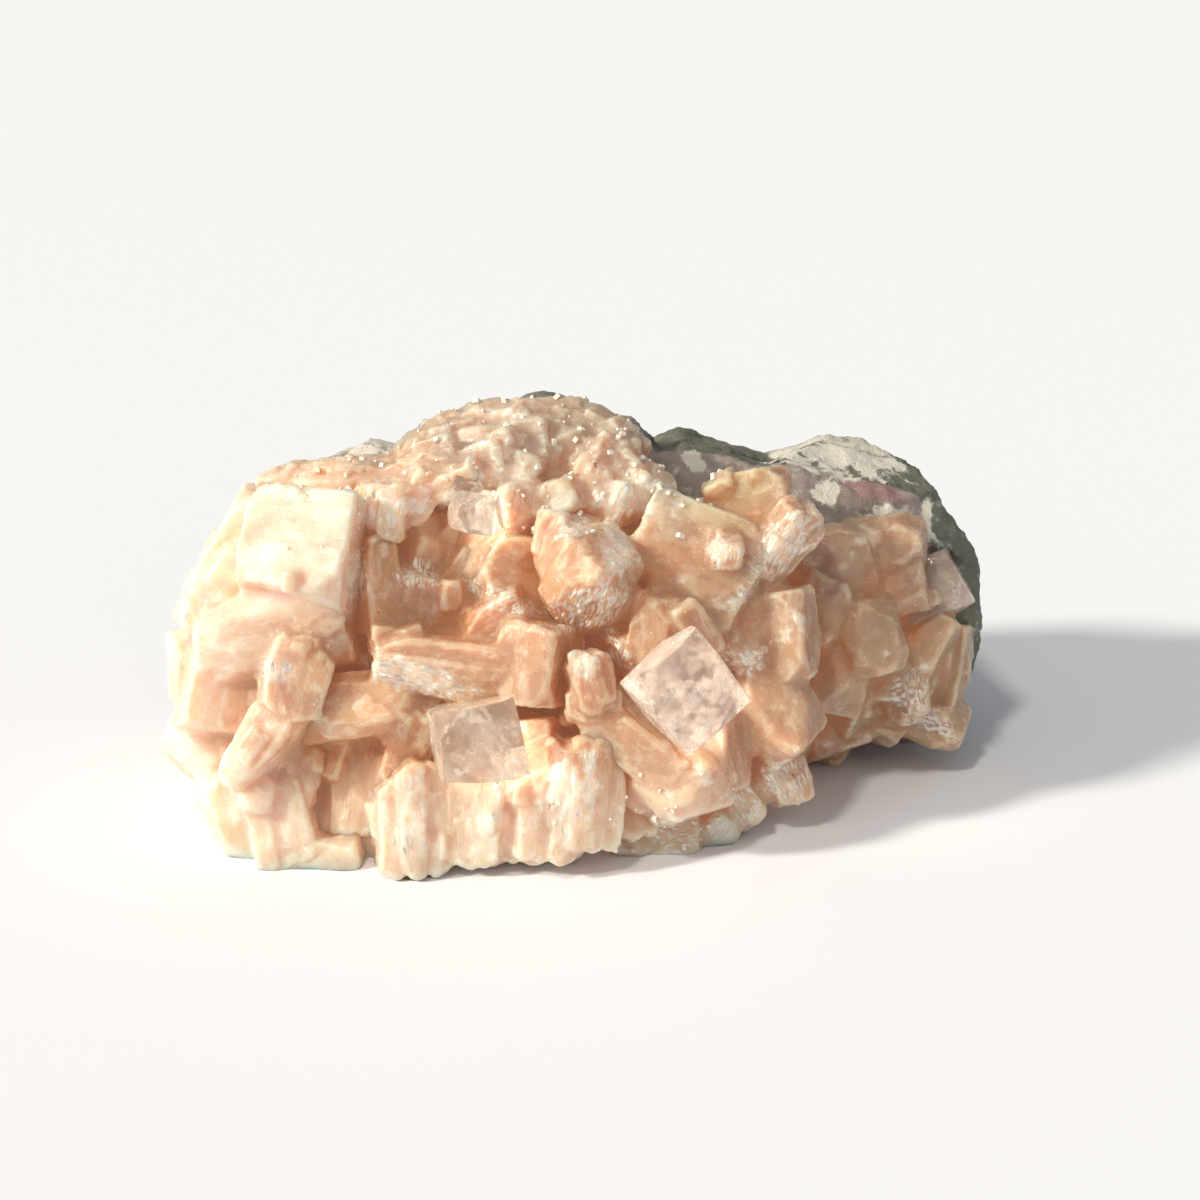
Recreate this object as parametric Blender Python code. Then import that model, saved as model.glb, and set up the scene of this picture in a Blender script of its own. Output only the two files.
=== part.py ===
"""A zeolite cluster as it comes out of a cavity in basalt. Peach stilbite crystals have grown together on a pale
rind, the rind lines a piece of grey-green basalt, and a few clear apophyllite crystals are set among the stilbite.

Lengths in the tables are in millimetres, and angles in degrees. The model is in metres, with +Z up. The cluster
rests on its flat cut face at z = 0, and its crystals look towards -Y.
"""

import math
import random
from typing import NamedTuple

import bmesh
import bpy
from mathutils import Matrix, Vector

MM = 0.001
GAP = 0.3

# The crystals are laid out as someone sees them who looks at the front of the cluster from a little above it.
# "across" runs from the middle of the cluster to the right, and "up" from the foot of its front row.
SIGHT_TILT = math.radians(22)
EYE_DISTANCE = 450
EYE_ACROSS = 4.4
EYE_UP = 40.8
FRONT_Y = -34

SIGHT_RIGHT = Vector((1, 0, 0))
SIGHT_AWAY = Vector((0, math.cos(SIGHT_TILT), -math.sin(SIGHT_TILT)))
SIGHT_UP = Vector((0, math.sin(SIGHT_TILT), math.cos(SIGHT_TILT)))
SIGHT_AXES = Matrix((SIGHT_RIGHT, SIGHT_AWAY, SIGHT_UP)).transposed()

RIND_FRONT_Y = 5
RIND_BACK_Y = 17
LOBE_SETBACK = 9


class Crystal(NamedTuple):
    """One crystal. Its nearest point is seen at (across, up) and lies at depth y. It is upright and faces the eye
    until it is turned clockwise, leaned towards the eye and rolled about its own length."""

    across: float
    up: float
    y: float
    long: float
    wide: float
    thick: float
    turn: float = 0
    lean: float = 0
    roll: float = 0
    form: str = "block"


class Chunk(NamedTuple):
    """A lump with broken flat faces, given by its middle and its half sizes."""

    x: float
    y: float
    z: float
    half_x: float
    half_y: float
    half_z: float


LEFT_SIDE = (
    Crystal(-39.6, 48.2, -22, 17, 17, 14, 98, 12, -18, "slab"),
    Crystal(-48.0, 49.2, -11, 16, 9, 11, 34, 8, 10),
    Crystal(-51.6, 43.0, -9, 14, 9, 11, 27, 5, 15),
    Crystal(-54.6, 39.2, -13, 5, 5, 6, 10, 20, 20),
    Crystal(-43.0, 35.8, -24, 22, 12, 14, 84, 5, -10, "lump"),
    Crystal(-51.0, 28.5, -21, 15, 12, 13, 12, -5, 16),
    Crystal(-40.6, 30.0, -27, 13, 11, 12, 12, 0, 8, "sheaf"),
    Crystal(-51.4, 18.8, -21, 16, 12, 14, -58, -6, 18, "lump"),
    Crystal(-44.6, 20.0, -30, 17, 8, 9, 38, 6, -22, "sheaf"),
    Crystal(-40.2, 16.0, -26, 11, 5, 7, -5, 0, 20),
    Crystal(-47.8, 9.0, -25, 14, 11, 12, -16, -4, 12),
    Crystal(-42.0, 9.4, -29, 16, 8, 10, -12, 0, -12, "column"),
    Crystal(-46.0, 12.8, -29, 6, 5, 6, 5, 0, 8),
    Crystal(-36.8, 3.4, -31, 13, 6, 9, 84, 10, 12),
)

CENTRE_LEFT = (
    Crystal(-35.5, 21.0, -23, 13, 11, 11, 15, 0, -20),
    Crystal(-35.7, 11.5, -24, 14, 7, 9, -4, 0, 12, "column"),
    Crystal(-30.8, 13.0, -26, 14, 6.5, 8, 4, 0, -12, "column"),
    Crystal(-18.5, 31.5, -25, 20, 9.5, 11, 103, 0, 14, "sheaf"),
    Crystal(-32.0, 25.0, -27, 18, 9.5, 11, 86, 0, -8, "lump"),
    Crystal(-23.6, 23.6, -28, 9, 8, 9, 22, 38, 10, "sheaf"),
    Crystal(-25.5, 35.2, -22, 8, 4.5, 6, 82, 0, 20),
    Crystal(-4.6, 32.0, -27, 12, 9, 13, 4, 4, -24),
    Crystal(-10.0, 38.0, -21, 9, 7, 8, 62, 10, 12),
    Crystal(-6.5, 43.5, -16, 14, 11, 12, -58, 6, 10),
    Crystal(-13.0, 40.5, -16, 12, 12, 11, 32, 0, -12),
    Crystal(-20.8, 38.8, -18, 12, 11, 12, 2, 8, 14),
    Crystal(-23.5, 46.5, -13, 16, 12, 13, 12, 6, -14, "lump"),
    Crystal(-14.4, 47.0, -11, 15, 12, 12, -6, 4, 12),
    Crystal(-6.5, 50.0, -8, 11, 10, 10, 24, 0, -10),
    Crystal(-29.2, 43.0, -18, 14, 5.5, 10, -8, 0, 28),
    Crystal(-24.5, 17.5, -26, 9, 7, 8, 12, 0, 10),
)

TOP_CRUST = (
    Crystal(-36.0, 57.2, -8, 19, 6.5, 12, 86, 8, -24, "lump"),
    Crystal(-27.0, 54.2, -13, 8.5, 8, 9, 8, 8, -14),
    Crystal(-23.0, 55.6, -13, 6, 5.5, 6, 30, 10, 22),
    Crystal(-12.0, 61.2, -9, 8.5, 6.5, 7, 76, 30, 12),
    Crystal(-6.8, 60.0, -9, 6.5, 5.5, 6, 20, 20, -16),
    Crystal(-8.6, 54.6, -12, 6, 4, 6, 6, 10, 16),
    Crystal(-1.6, 55.2, -12, 7, 5.5, 7, 62, 12, -10),
    Crystal(4.4, 61.4, -6, 7, 5, 6, 48, 25, 14),
    Crystal(8.2, 59.2, -7, 7, 5, 6, 40, 20, -12),
    Crystal(11.8, 56.4, -9, 7, 5.5, 6, 34, 24, 16),
    Crystal(5.6, 56.4, -10, 9, 7, 8, 22, 8, -14, "column"),
    Crystal(-8.0, 66.4, 0, 22, 9, 17, 90, 10, 6, "lump"),
    Crystal(-18.5, 62.8, -1, 15, 9, 13, 64, 6, -8, "lump"),
    Crystal(2.6, 65.4, 2, 14, 9, 13, 116, 8, 10, "lump"),
    Crystal(-10.5, 63.2, -5, 17, 6, 9, 84, 14, -10),
    Crystal(-0.7, 61.2, -5, 11, 8.5, 9, 20, 10, 12),
    Crystal(-21.2, 59.4, -8, 10, 6.5, 9, 70, 8, 8),
    Crystal(-17.8, 57.6, -12, 4.5, 4, 5, 66, 15, 20),
    Crystal(7.4, 62.8, -1, 7.5, 5.5, 6, 38, 12, -20),
    Crystal(-30.0, 59.2, -3, 12, 6, 9, 82, 12, 14, "lump"),
)

CENTRE = (
    Crystal(2.8, 44.2, -24, 14, 12.5, 13, 28, 40, 12, "lump"),
    Crystal(0.6, 47.8, -20, 10, 9, 10, 20, 20, -14, "lump"),
    Crystal(18.6, 46.4, -15, 18, 16, 14, 116, 4, -10, "slab"),
    Crystal(23.0, 48.2, -17, 4.5, 4, 5, 20, 30, 12),
    Crystal(31.0, 49.4, -14, 14, 7.5, 7.5, 38, 14, 28, "rod"),
    Crystal(27.4, 56.0, -5, 10, 7.5, 8, 80, 10, -10),
    Crystal(22.0, 57.4, -4, 5, 3.5, 5, 60, 15, 15),
    Crystal(32.0, 35.6, -18, 13, 8, 9, -8, 6, -26),
    Crystal(2.8, 29.4, -30, 9, 6, 7, -12, 10, 14, "sheaf"),
    Crystal(3.6, 25.6, -28, 8, 4.5, 6, 84, 0, 10),
    Crystal(12.4, 36.6, -23, 11, 6, 7, 10, 16, -18),
    Crystal(17.8, 36.4, -23, 9, 5, 6, -28, 14, 16),
    Crystal(8.0, 33.6, -20, 13, 5.5, 8, -26, 4, 24, "sheaf"),
    Crystal(23.5, 37.0, -17, 11, 9, 10, -36, 4, 10),
    Crystal(29.6, 25.4, -21, 16, 12, 11, -34, 4, 12, "lump"),
    Crystal(10.0, 20.0, -30, 15, 7.5, 9, -48, 6, -18),
    Crystal(16.4, 14.4, -31, 13, 12, 12, 72, 10, -6, "lump"),
    Crystal(10.0, 14.6, -28, 8, 7, 8, 32, 6, 12),
    Crystal(22.6, 18.6, -27, 12, 5, 9, -5, 4, -30),
    Crystal(31.0, 14.8, -19, 9, 7.5, 9, -26, 8, 14, "sheaf"),
    Crystal(25.4, 11.4, -21, 7, 5.5, 7, -34, 12, -14, "sheaf"),
    Crystal(21.0, 6.8, -23, 7, 6, 7, 40, 6, 16),
    Crystal(14.6, 5.6, -25, 10, 6, 9, 86, 6, -12),
    Crystal(6.8, 7.4, -26, 10, 7, 9, -48, 8, 14),
    Crystal(29.0, 18.5, -16, 11, 9, 9, 12, 0, 10),
)

FRONT_ROW = (
    Crystal(-23.6, 9.0, -32.5, 18, 9, 11, -4, 4, 8, "column"),
    Crystal(-17.4, 8.0, -30, 12, 5, 8, 9, 0, -18, "column"),
    Crystal(-12.6, 9.6, -32, 16, 5.5, 9, 1, 3, -12, "column"),
    Crystal(-8.0, 9.6, -31, 15, 5, 9, 0, 3, 12, "column"),
    Crystal(-2.4, 11.6, -33, 19, 8, 10, 6, 4, -10, "column"),
    Crystal(3.2, 13.6, -31.5, 19, 7, 10, 3, 2, 14, "column"),
    Crystal(-5.0, 17.4, -28, 12, 6, 8, 0, 0, -14),
    Crystal(8.0, 11.8, -26, 13, 5, 8, -12, 0, 18, "column"),
)

RIGHT_LOBE = (
    Crystal(45.6, 49.2, 1, 14, 9, 11, 84, 10, 8, "lump"),
    Crystal(38.4, 46.0, -3, 13, 11, 12, 68, 6, -14, "lump"),
    Crystal(36.6, 39.4, -6, 10, 9, 10, 22, 4, 12),
    Crystal(43.8, 35.4, -8, 12, 9.5, 10, -16, 6, 14),
    Crystal(51.0, 34.4, 0, 11, 9, 10, 30, 4, -12),
    Crystal(53.0, 23.6, 1, 12, 8, 11, 112, 6, 12, "lump"),
    Crystal(50.2, 27.4, -3, 8, 4, 6, -12, 4, 20, "sheaf"),
    Crystal(47.0, 28.4, -2, 6, 4, 5, 88, 6, 12),
    Crystal(55.4, 31.8, 5, 12, 6.5, 10, 6, 4, -16),
    Crystal(44.8, 24.0, 1, 10, 7, 9, -58, 6, 14),
    Crystal(38.4, 31.0, -7, 14, 12, 11, 12, 4, -10, "lump"),
    Crystal(37.0, 23.0, 0, 12, 9, 10, -22, 0, 14),
    Crystal(37.6, 18.6, 5, 6, 4, 7, -62, 0, 10),
    Crystal(46.4, 41.6, -1, 13, 8, 10, 80, 8, -12),
)

# Crystals at the two ends, which the front view hides. Each has its middle's x, y and z, the compass bearing that it
# points to as seen from above, with 0 towards +X, its length, width and thickness, and its form.
END_CRYSTALS = (
    (-52, -4, 10, 188, 14, 11, 10, "lump"),
    (-53, -8, 22, 196, 14, 11, 10, "block"),
    (-50, -2, 33, 184, 13, 11, 10, "lump"),
    (-45, -4, 43, 190, 11, 10, 9, "block"),
    (-52, 2, 25, 170, 12, 9, 8, "sheaf"),
    (-51, 3, 14, 172, 12, 9, 8, "block"),
    (-47, -16, 9, 214, 12, 10, 9, "block"),
    (-50, 4, 5, 168, 12, 9, 9, "block"),
    (53, 8, 18, -6, 12, 9, 8, "block"),
    (55, 12, 26, 4, 10, 8, 8, "lump"),
    (51, 3, 14, -28, 11, 8, 8, "sheaf"),
    (42, 4, 11, -40, 10, 8, 8, "block"),
)

# What the crystals have grown from: compact stilbite behind them, and the basalt lumps behind the rind.
STILBITE_BED = (
    Chunk(-30, 3, 18, 27, 17, 27),
    Chunk(-8, 3, 24, 26, 17, 31),
    Chunk(18, 3, 18, 22, 17, 28),
    Chunk(42, 13, 26, 15, 12, 14),
    Chunk(-14, -12, 3, 34, 15, 15),
    Chunk(12, -6, 3, 18, 14, 15),
)
COUNTRY_ROCK = (
    Chunk(-30, 16, 21, 30, 19, 29),
    Chunk(-7, 17, 25, 31, 21, 32),
    Chunk(20, 19, 22, 29, 20, 28.6),
    Chunk(38.5, 20, 21, 27.5, 19, 28.2),
)

CLEAR_FRONT = (
    Crystal(17.2, 27.4, -36, 13.5, 12.5, 10, -38, 8, 4, "clear"),
)
CLEAR_LEFT = (
    Crystal(-13.6, 20.2, -33.5, 11, 12.5, 10, -6, 6, 10, "clear"),
    Crystal(-6.6, 17.4, -33, 5.5, 3, 4, 80, 0, 20, "clear"),
)
CLEAR_TOP = (
    Crystal(-14.6, 54.0, -16, 6, 5.5, 6, 8, 12, 22, "clear"),
    Crystal(-11.6, 53.4, -15, 5, 3.5, 5, -14, 18, -12, "clear"),
    Crystal(-15.4, 57.0, -14, 4, 4, 4, 24, 24, 16, "clear"),
)
CLEAR_RIGHT = (
    Crystal(53.2, 42.2, 2, 10, 8.5, 8, 62, 6, -12, "clear"),
)


def sighted(across, up, y):
    """The point at depth y that the eye sees at (across, up)."""
    foot = Vector((0, FRONT_Y, 0))
    eye = foot + SIGHT_RIGHT * EYE_ACROSS + SIGHT_UP * EYE_UP - SIGHT_AWAY * EYE_DISTANCE
    aim = foot + SIGHT_RIGHT * across + SIGHT_UP * up - eye
    return eye + aim * ((y - eye.y) / aim.y)


def crystal_placing(crystal):
    """The matrix that carries a crystal from its own axes, with its length along Z, to its place."""
    spin = (
        Matrix.Rotation(math.radians(crystal.turn), 3, "Y")
        @ Matrix.Rotation(math.radians(crystal.lean), 3, "X")
        @ Matrix.Rotation(math.radians(crystal.roll), 3, "Z")
    )
    half = Vector((crystal.wide, crystal.thick, crystal.long)) / 2
    reach = sum(abs(spin[1][i]) * half[i] for i in range(3))
    middle = sighted(crystal.across, crystal.up, crystal.y) + SIGHT_AWAY * reach * 0.85
    return Matrix.Translation(middle) @ (SIGHT_AXES @ spin).to_4x4()


def leaned(normal, draw, most):
    """The normal, leaned a random way by up to that many degrees."""
    slope = math.tan(math.radians(most))
    return (normal + Vector([draw.uniform(-slope, slope) for _ in range(3)])).normalized()


def box_planes(half, draw, most=5):
    """The six faces of a box, each leaned a little, as a point on the face and its outward normal."""
    planes = []
    for axis in range(3):
        for sign in (-1, 1):
            normal = Vector([sign if i == axis else 0 for i in range(3)])
            planes.append((normal * half[axis], leaned(normal, draw, most)))
    return planes


def corner_planes(half, draw, count, depth):
    """Faces that cut off some of the box's corners."""
    corners = [Vector((a, b, c)) for a in (-1, 1) for b in (-1, 1) for c in (-1, 1)]
    draw.shuffle(corners)
    planes = []
    for corner in corners[:count]:
        normal = Vector([corner[i] / half[i] for i in range(3)])
        point = Vector([corner[i] * half[i] for i in range(3)]) * draw.uniform(depth, depth + 0.1)
        planes.append((point, leaned(normal.normalized(), draw, 8)))
    return planes


def edge_planes(half, draw, depth):
    """Faces along the four long edges, as on a bar with rounded sides."""
    planes = []
    for a in (-1, 1):
        for b in (-1, 1):
            normal = Vector((a / half[0], b / half[1], 0)).normalized()
            point = Vector((a * half[0], b * half[1], 0)) * depth
            planes.append((point, leaned(normal, draw, 5)))
    return planes


def gable_planes(half, draw, slope):
    """Two faces that meet in a ridge at each end of a lath."""
    planes = []
    for sign in (-1, 1):
        for side in (-1, 1):
            normal = Vector((side * math.sin(slope), 0, sign * math.cos(slope)))
            point = Vector((draw.uniform(-0.3, 0.3) * half[0], 0, sign * half[2]))
            planes.append((point, leaned(normal, draw, 6)))
    return planes


def laths(crystal, draw, count, fan, step):
    """Laths side by side that make up a column or a sheaf. A fan spreads their ends, and a step makes them uneven."""
    bodies = []
    for i in range(count):
        share = (i + 0.5) / count - 0.5
        half = Vector((
            crystal.wide / count * 0.72,
            crystal.thick / 2 * draw.uniform(0.84, 1),
            crystal.long / 2 * draw.uniform(1 - step, 1),
        ))
        sideways = share * crystal.wide * (0.55 if fan else 1)
        place = (
            Matrix.Translation((sideways, draw.uniform(-0.05, 0.05) * crystal.thick, half.z - crystal.long / 2))
            @ Matrix.Rotation(math.radians(2 * fan * share), 4, "Y")
        )
        planes = box_planes(half, draw, 3) + gable_planes(half, draw, math.radians(28))
        bodies.append((planes, place))
    return bodies


def crystal_bodies(crystal, seed):
    """The convex bodies that a crystal is made of, in its own axes."""
    draw = random.Random(seed)
    half = Vector((crystal.wide, crystal.thick, crystal.long)) / 2
    count = 3 if crystal.wide > 6 else 2
    if crystal.form == "column":
        return laths(crystal, draw, count, 0, 0.16)
    if crystal.form == "sheaf":
        return laths(crystal, draw, count, 9, 0.12)
    planes = box_planes(half, draw)
    if crystal.form == "block":
        planes += corner_planes(half, draw, 3, 0.72)
    elif crystal.form == "slab":
        planes += corner_planes(half, draw, 4, 0.8)
    elif crystal.form == "clear":
        planes += corner_planes(half, draw, 3, 0.78)
    elif crystal.form == "lump":
        planes += corner_planes(half, draw, 8, 0.62) + edge_planes(half, draw, 0.8)
    elif crystal.form == "rod":
        planes += edge_planes(half, draw, 0.78) + gable_planes(half, draw, math.radians(24))
    return [(planes, Matrix.Identity(4))]


def chunk_planes(chunk, seed, faces=26):
    """Broken faces all round an ellipsoid, spread evenly and each leaned a little."""
    draw = random.Random(seed)
    half = Vector((chunk.half_x, chunk.half_y, chunk.half_z))
    turn = math.pi * (3 - math.sqrt(5))
    planes = []
    for i in range(faces):
        height = 1 - 2 * (i + 0.5) / faces
        ring = math.sqrt(1 - height * height)
        normal = leaned(Vector((ring * math.cos(turn * i), ring * math.sin(turn * i), height)), draw, 10)
        touch = Vector([half[k] * half[k] * normal[k] for k in range(3)])
        touch /= math.sqrt(sum((half[k] * normal[k]) ** 2 for k in range(3)))
        planes.append((touch * draw.uniform(0.88, 1), normal))
    return planes


def convex_mesh(name, planes, placing, grow=0):
    """A mesh object cut from a block by planes, moved outwards by grow, and set in its place."""
    mesh = bmesh.new()
    bmesh.ops.create_cube(mesh, size=200)
    for point, normal in planes:
        everything = mesh.verts[:] + mesh.edges[:] + mesh.faces[:]
        cut = bmesh.ops.bisect_plane(
            mesh, geom=everything, plane_co=point + normal * grow, plane_no=normal, clear_outer=True
        )
        rim = [part for part in cut["geom_cut"] if isinstance(part, bmesh.types.BMEdge)]
        if rim:
            bmesh.ops.edgeloop_fill(mesh, edges=rim)
    bmesh.ops.recalc_face_normals(mesh, faces=mesh.faces)
    mesh.transform(Matrix.Scale(MM, 4) @ placing)
    return mesh_object(name, mesh)


def mesh_object(name, mesh):
    """Turns a bmesh into an object in the scene."""
    data = bpy.data.meshes.new(name)
    mesh.to_mesh(data)
    mesh.free()
    made = bpy.data.objects.new(name, data)
    bpy.context.scene.collection.objects.link(made)
    return made


def end_crystal(entry):
    """A crystal of END_CRYSTALS, with the placing that makes it point outwards and a little up or down."""
    x, y, z, bearing, long, wide, thick, form = entry
    crystal = Crystal(0, 0, 0, long, wide, thick, form=form)
    heading = math.radians(bearing)
    aim = Vector((math.cos(heading), math.sin(heading), (z - 20) / 40)).normalized()
    placing = Matrix.Translation((x, y, z)) @ aim.to_track_quat("Z", "Y").to_matrix().to_4x4()
    return crystal, placing


def crystal_objects(crystals, label, grow=0):
    """A mesh object for each convex body of these crystals, each grown outwards by grow."""
    made = []
    for number, crystal in enumerate(crystals):
        seed = f"{label} {number}"
        for planes, local in crystal_bodies(crystal, seed):
            made.append(convex_mesh(label, planes, crystal_placing(crystal) @ local, grow))
    return made


def chunk_objects(chunks, label):
    """A mesh object for each chunk."""
    return [
        convex_mesh(label, chunk_planes(chunk, f"{label} {number}"), Matrix.Translation(chunk[:3]))
        for number, chunk in enumerate(chunks)
    ]


def combined(target, others, operation):
    """The target joined with, or cut by, all the others, which are then removed."""
    helpers = bpy.data.collections.new("helpers")
    bpy.context.scene.collection.children.link(helpers)
    for other in others:
        helpers.objects.link(other)
    step = target.modifiers.new(operation.title(), "BOOLEAN")
    step.operation = operation
    step.operand_type = "COLLECTION"
    step.collection = helpers
    graph = bpy.context.evaluated_depsgraph_get()
    data = bpy.data.meshes.new_from_object(target.evaluated_get(graph))
    target.modifiers.clear()
    target.data = data
    for other in others:
        bpy.data.objects.remove(other)
    bpy.data.collections.remove(helpers)
    return target


def eased(value, start, end):
    """0 before start, 1 after end, and a smooth ramp between them."""
    share = min(max((value - start) / (end - start), 0), 1)
    return share * share * (3 - 2 * share)


def rind_front(x, z):
    """Where the stilbite ends and the rind begins, as depth y over the width and the height."""
    lobe = eased(x, 26, 40) * eased(z, 44, 34)
    return RIND_FRONT_Y + LOBE_SETBACK * lobe + 1.8 * math.sin(x / 13 + 1) + 1.4 * math.sin(z / 8 + x / 31)


def rind_back(x, z):
    """Where the rind ends and the basalt begins."""
    return RIND_BACK_Y + 5 * eased(x, 20, 45) + 2.2 * math.sin(x / 17 - 1) + 1.6 * math.sin(z / 10 + x / 23 + 2)


def everything_behind(sheet, shift):
    """A closed block from the sheet, moved in depth by shift, to well behind the cluster."""
    half_width, low, high, far = 90, -8, 80, 90
    columns, rows = 18, 9
    mesh = bmesh.new()
    layers = []
    for back in (False, True):
        grid = []
        for row in range(rows + 1):
            z = low + (high - low) * row / rows
            xs = [half_width * (2 * column / columns - 1) for column in range(columns + 1)]
            grid.append([mesh.verts.new((x, far if back else sheet(x, z) + shift, z)) for x in xs])
        layers.append(grid)
    front, back = layers
    for row in range(rows):
        for column in range(columns):
            for grid in layers:
                corners = [
                    grid[row][column],
                    grid[row][column + 1],
                    grid[row + 1][column + 1],
                    grid[row + 1][column],
                ]
                mesh.faces.new(corners)
    rims = [
        [(row, 0) for row in range(rows + 1)],
        [(row, columns) for row in range(rows + 1)],
        [(0, column) for column in range(columns + 1)],
        [(rows, column) for column in range(columns + 1)],
    ]
    for rim in rims:
        for (a, b), (c, d) in zip(rim, rim[1:]):
            mesh.faces.new([front[a][b], front[c][d], back[c][d], back[a][b]])
    bmesh.ops.triangulate(mesh, faces=mesh.faces, quad_method="FIXED")
    bmesh.ops.recalc_face_normals(mesh, faces=mesh.faces)
    mesh.transform(Matrix.Scale(MM, 4))
    return mesh_object("behind", mesh)


def below_ground():
    """A block whose top is the flat face that the cluster rests on."""
    mesh = bmesh.new()
    bmesh.ops.create_cube(mesh, size=400)
    mesh.transform(Matrix.Scale(MM, 4) @ Matrix.Translation((0, 0, -200)))
    return mesh_object("below ground", mesh)


def without_chips(target):
    """The target without the small loose chips that cutting it may leave."""
    mesh = bmesh.new()
    mesh.from_mesh(target.data)
    bmesh.ops.triangulate(mesh, faces=mesh.faces)
    unseen = set(mesh.verts)
    groups = []
    while unseen:
        group, edge = set(), {unseen.pop()}
        while edge:
            vertex = edge.pop()
            group.add(vertex)
            for link in vertex.link_edges:
                other = link.other_vert(vertex)
                if other in unseen:
                    unseen.remove(other)
                    edge.add(other)
        groups.append(group)
    largest = max(groups, key=len)
    chips = [vertex for vertex in mesh.verts if vertex not in largest]
    bmesh.ops.delete(mesh, geom=chips, context="VERTS")
    mesh.to_mesh(target.data)
    mesh.free()
    return target


def finish_named(target, name, colour, roughness, transmission=0.0, ior=1.5):
    """Gives a finished piece its name and its own material."""
    target.name = name
    target.data.name = name
    material = bpy.data.materials.new(name)
    material.use_nodes = True
    shader = material.node_tree.nodes["Principled BSDF"]
    shader.inputs["Base Color"].default_value = (*colour, 1)
    shader.inputs["Roughness"].default_value = roughness
    shader.inputs["Transmission Weight"].default_value = transmission
    shader.inputs["IOR"].default_value = ior
    material.diffuse_color = (*colour, 1)
    target.data.materials.clear()
    target.data.materials.append(material)
    return target


def stilbite():
    """The peach crystals and the compact stilbite that they grow from, as one solid with pockets for the clear ones."""
    bodies = chunk_objects(STILBITE_BED, "bed")
    for label, crystals in STILBITE_CRYSTALS.items():
        bodies += crystal_objects(crystals, label)
    for number, entry in enumerate(END_CRYSTALS):
        crystal, placing = end_crystal(entry)
        for planes, local in crystal_bodies(crystal, f"end {number}"):
            bodies.append(convex_mesh("end", planes, placing @ local))
    mass = combined(bodies[0], bodies[1:], "UNION")
    pockets = []
    for name, crystals in CLEAR_CRYSTALS.items():
        pockets += crystal_objects(crystals, name, GAP)
    cutters = [everything_behind(rind_front, -GAP / 2), below_ground()] + pockets
    mass = without_chips(combined(mass, cutters, "DIFFERENCE"))
    return finish_named(mass, "stilbite_crystals", (0.86, 0.55, 0.38), 0.4)


def rock_layers():
    """The pale rind and the basalt, cut from the same lumps along the wavy sheet where they meet."""
    rind = combined(*split_first(chunk_objects(COUNTRY_ROCK, "rock")), "UNION")
    basalt = rind.copy()
    basalt.data = rind.data.copy()
    bpy.context.scene.collection.objects.link(basalt)
    rind = combined(rind, [everything_behind(rind_front, GAP / 2)], "INTERSECT")
    pockets = crystal_objects(CLEAR_RIGHT, "clear_crystal_right", GAP)
    rind = combined(rind, [everything_behind(rind_back, -GAP / 2), below_ground()] + pockets, "DIFFERENCE")
    basalt = combined(basalt, [everything_behind(rind_back, GAP / 2)], "INTERSECT")
    basalt = combined(basalt, [below_ground()], "DIFFERENCE")
    finish_named(without_chips(rind), "pale_rind", (0.62, 0.52, 0.49), 0.7)
    finish_named(without_chips(basalt), "basalt_matrix", (0.28, 0.31, 0.27), 0.85)


def split_first(objects):
    """The first of these objects, and the rest."""
    return objects[0], objects[1:]


def clear_crystals():
    """The see-through crystals, each group one solid."""
    for name, crystals in CLEAR_CRYSTALS.items():
        first, rest = split_first(crystal_objects(crystals, name))
        if rest:
            combined(first, rest, "UNION")
        finish_named(first, name, (0.93, 0.91, 0.88), 0.15, transmission=1, ior=1.535)


STILBITE_CRYSTALS = {
    "left side": LEFT_SIDE,
    "centre left": CENTRE_LEFT,
    "top crust": TOP_CRUST,
    "centre": CENTRE,
    "front row": FRONT_ROW,
    "right lobe": RIGHT_LOBE,
}
CLEAR_CRYSTALS = {
    "clear_crystal_front": CLEAR_FRONT,
    "clear_crystal_left": CLEAR_LEFT,
    "clear_crystals_top": CLEAR_TOP,
    "clear_crystal_right": CLEAR_RIGHT,
}


def main():
    for leftover in list(bpy.data.objects):
        bpy.data.objects.remove(leftover)
    stilbite()
    rock_layers()
    clear_crystals()


main()
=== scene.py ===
"""The looks of a zeolite cluster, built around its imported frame: peach stilbite, clear apophyllite,
a pale rind and basalt.

Lengths in the tables are in millimetres and angles in degrees. The model is in metres, with +Z up.
"""

import itertools
import math
import random
from typing import NamedTuple

import bpy
import numpy as np
from bpy.props import FloatProperty, FloatVectorProperty, IntProperty, PointerProperty
from mathutils import Matrix, Vector


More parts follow.
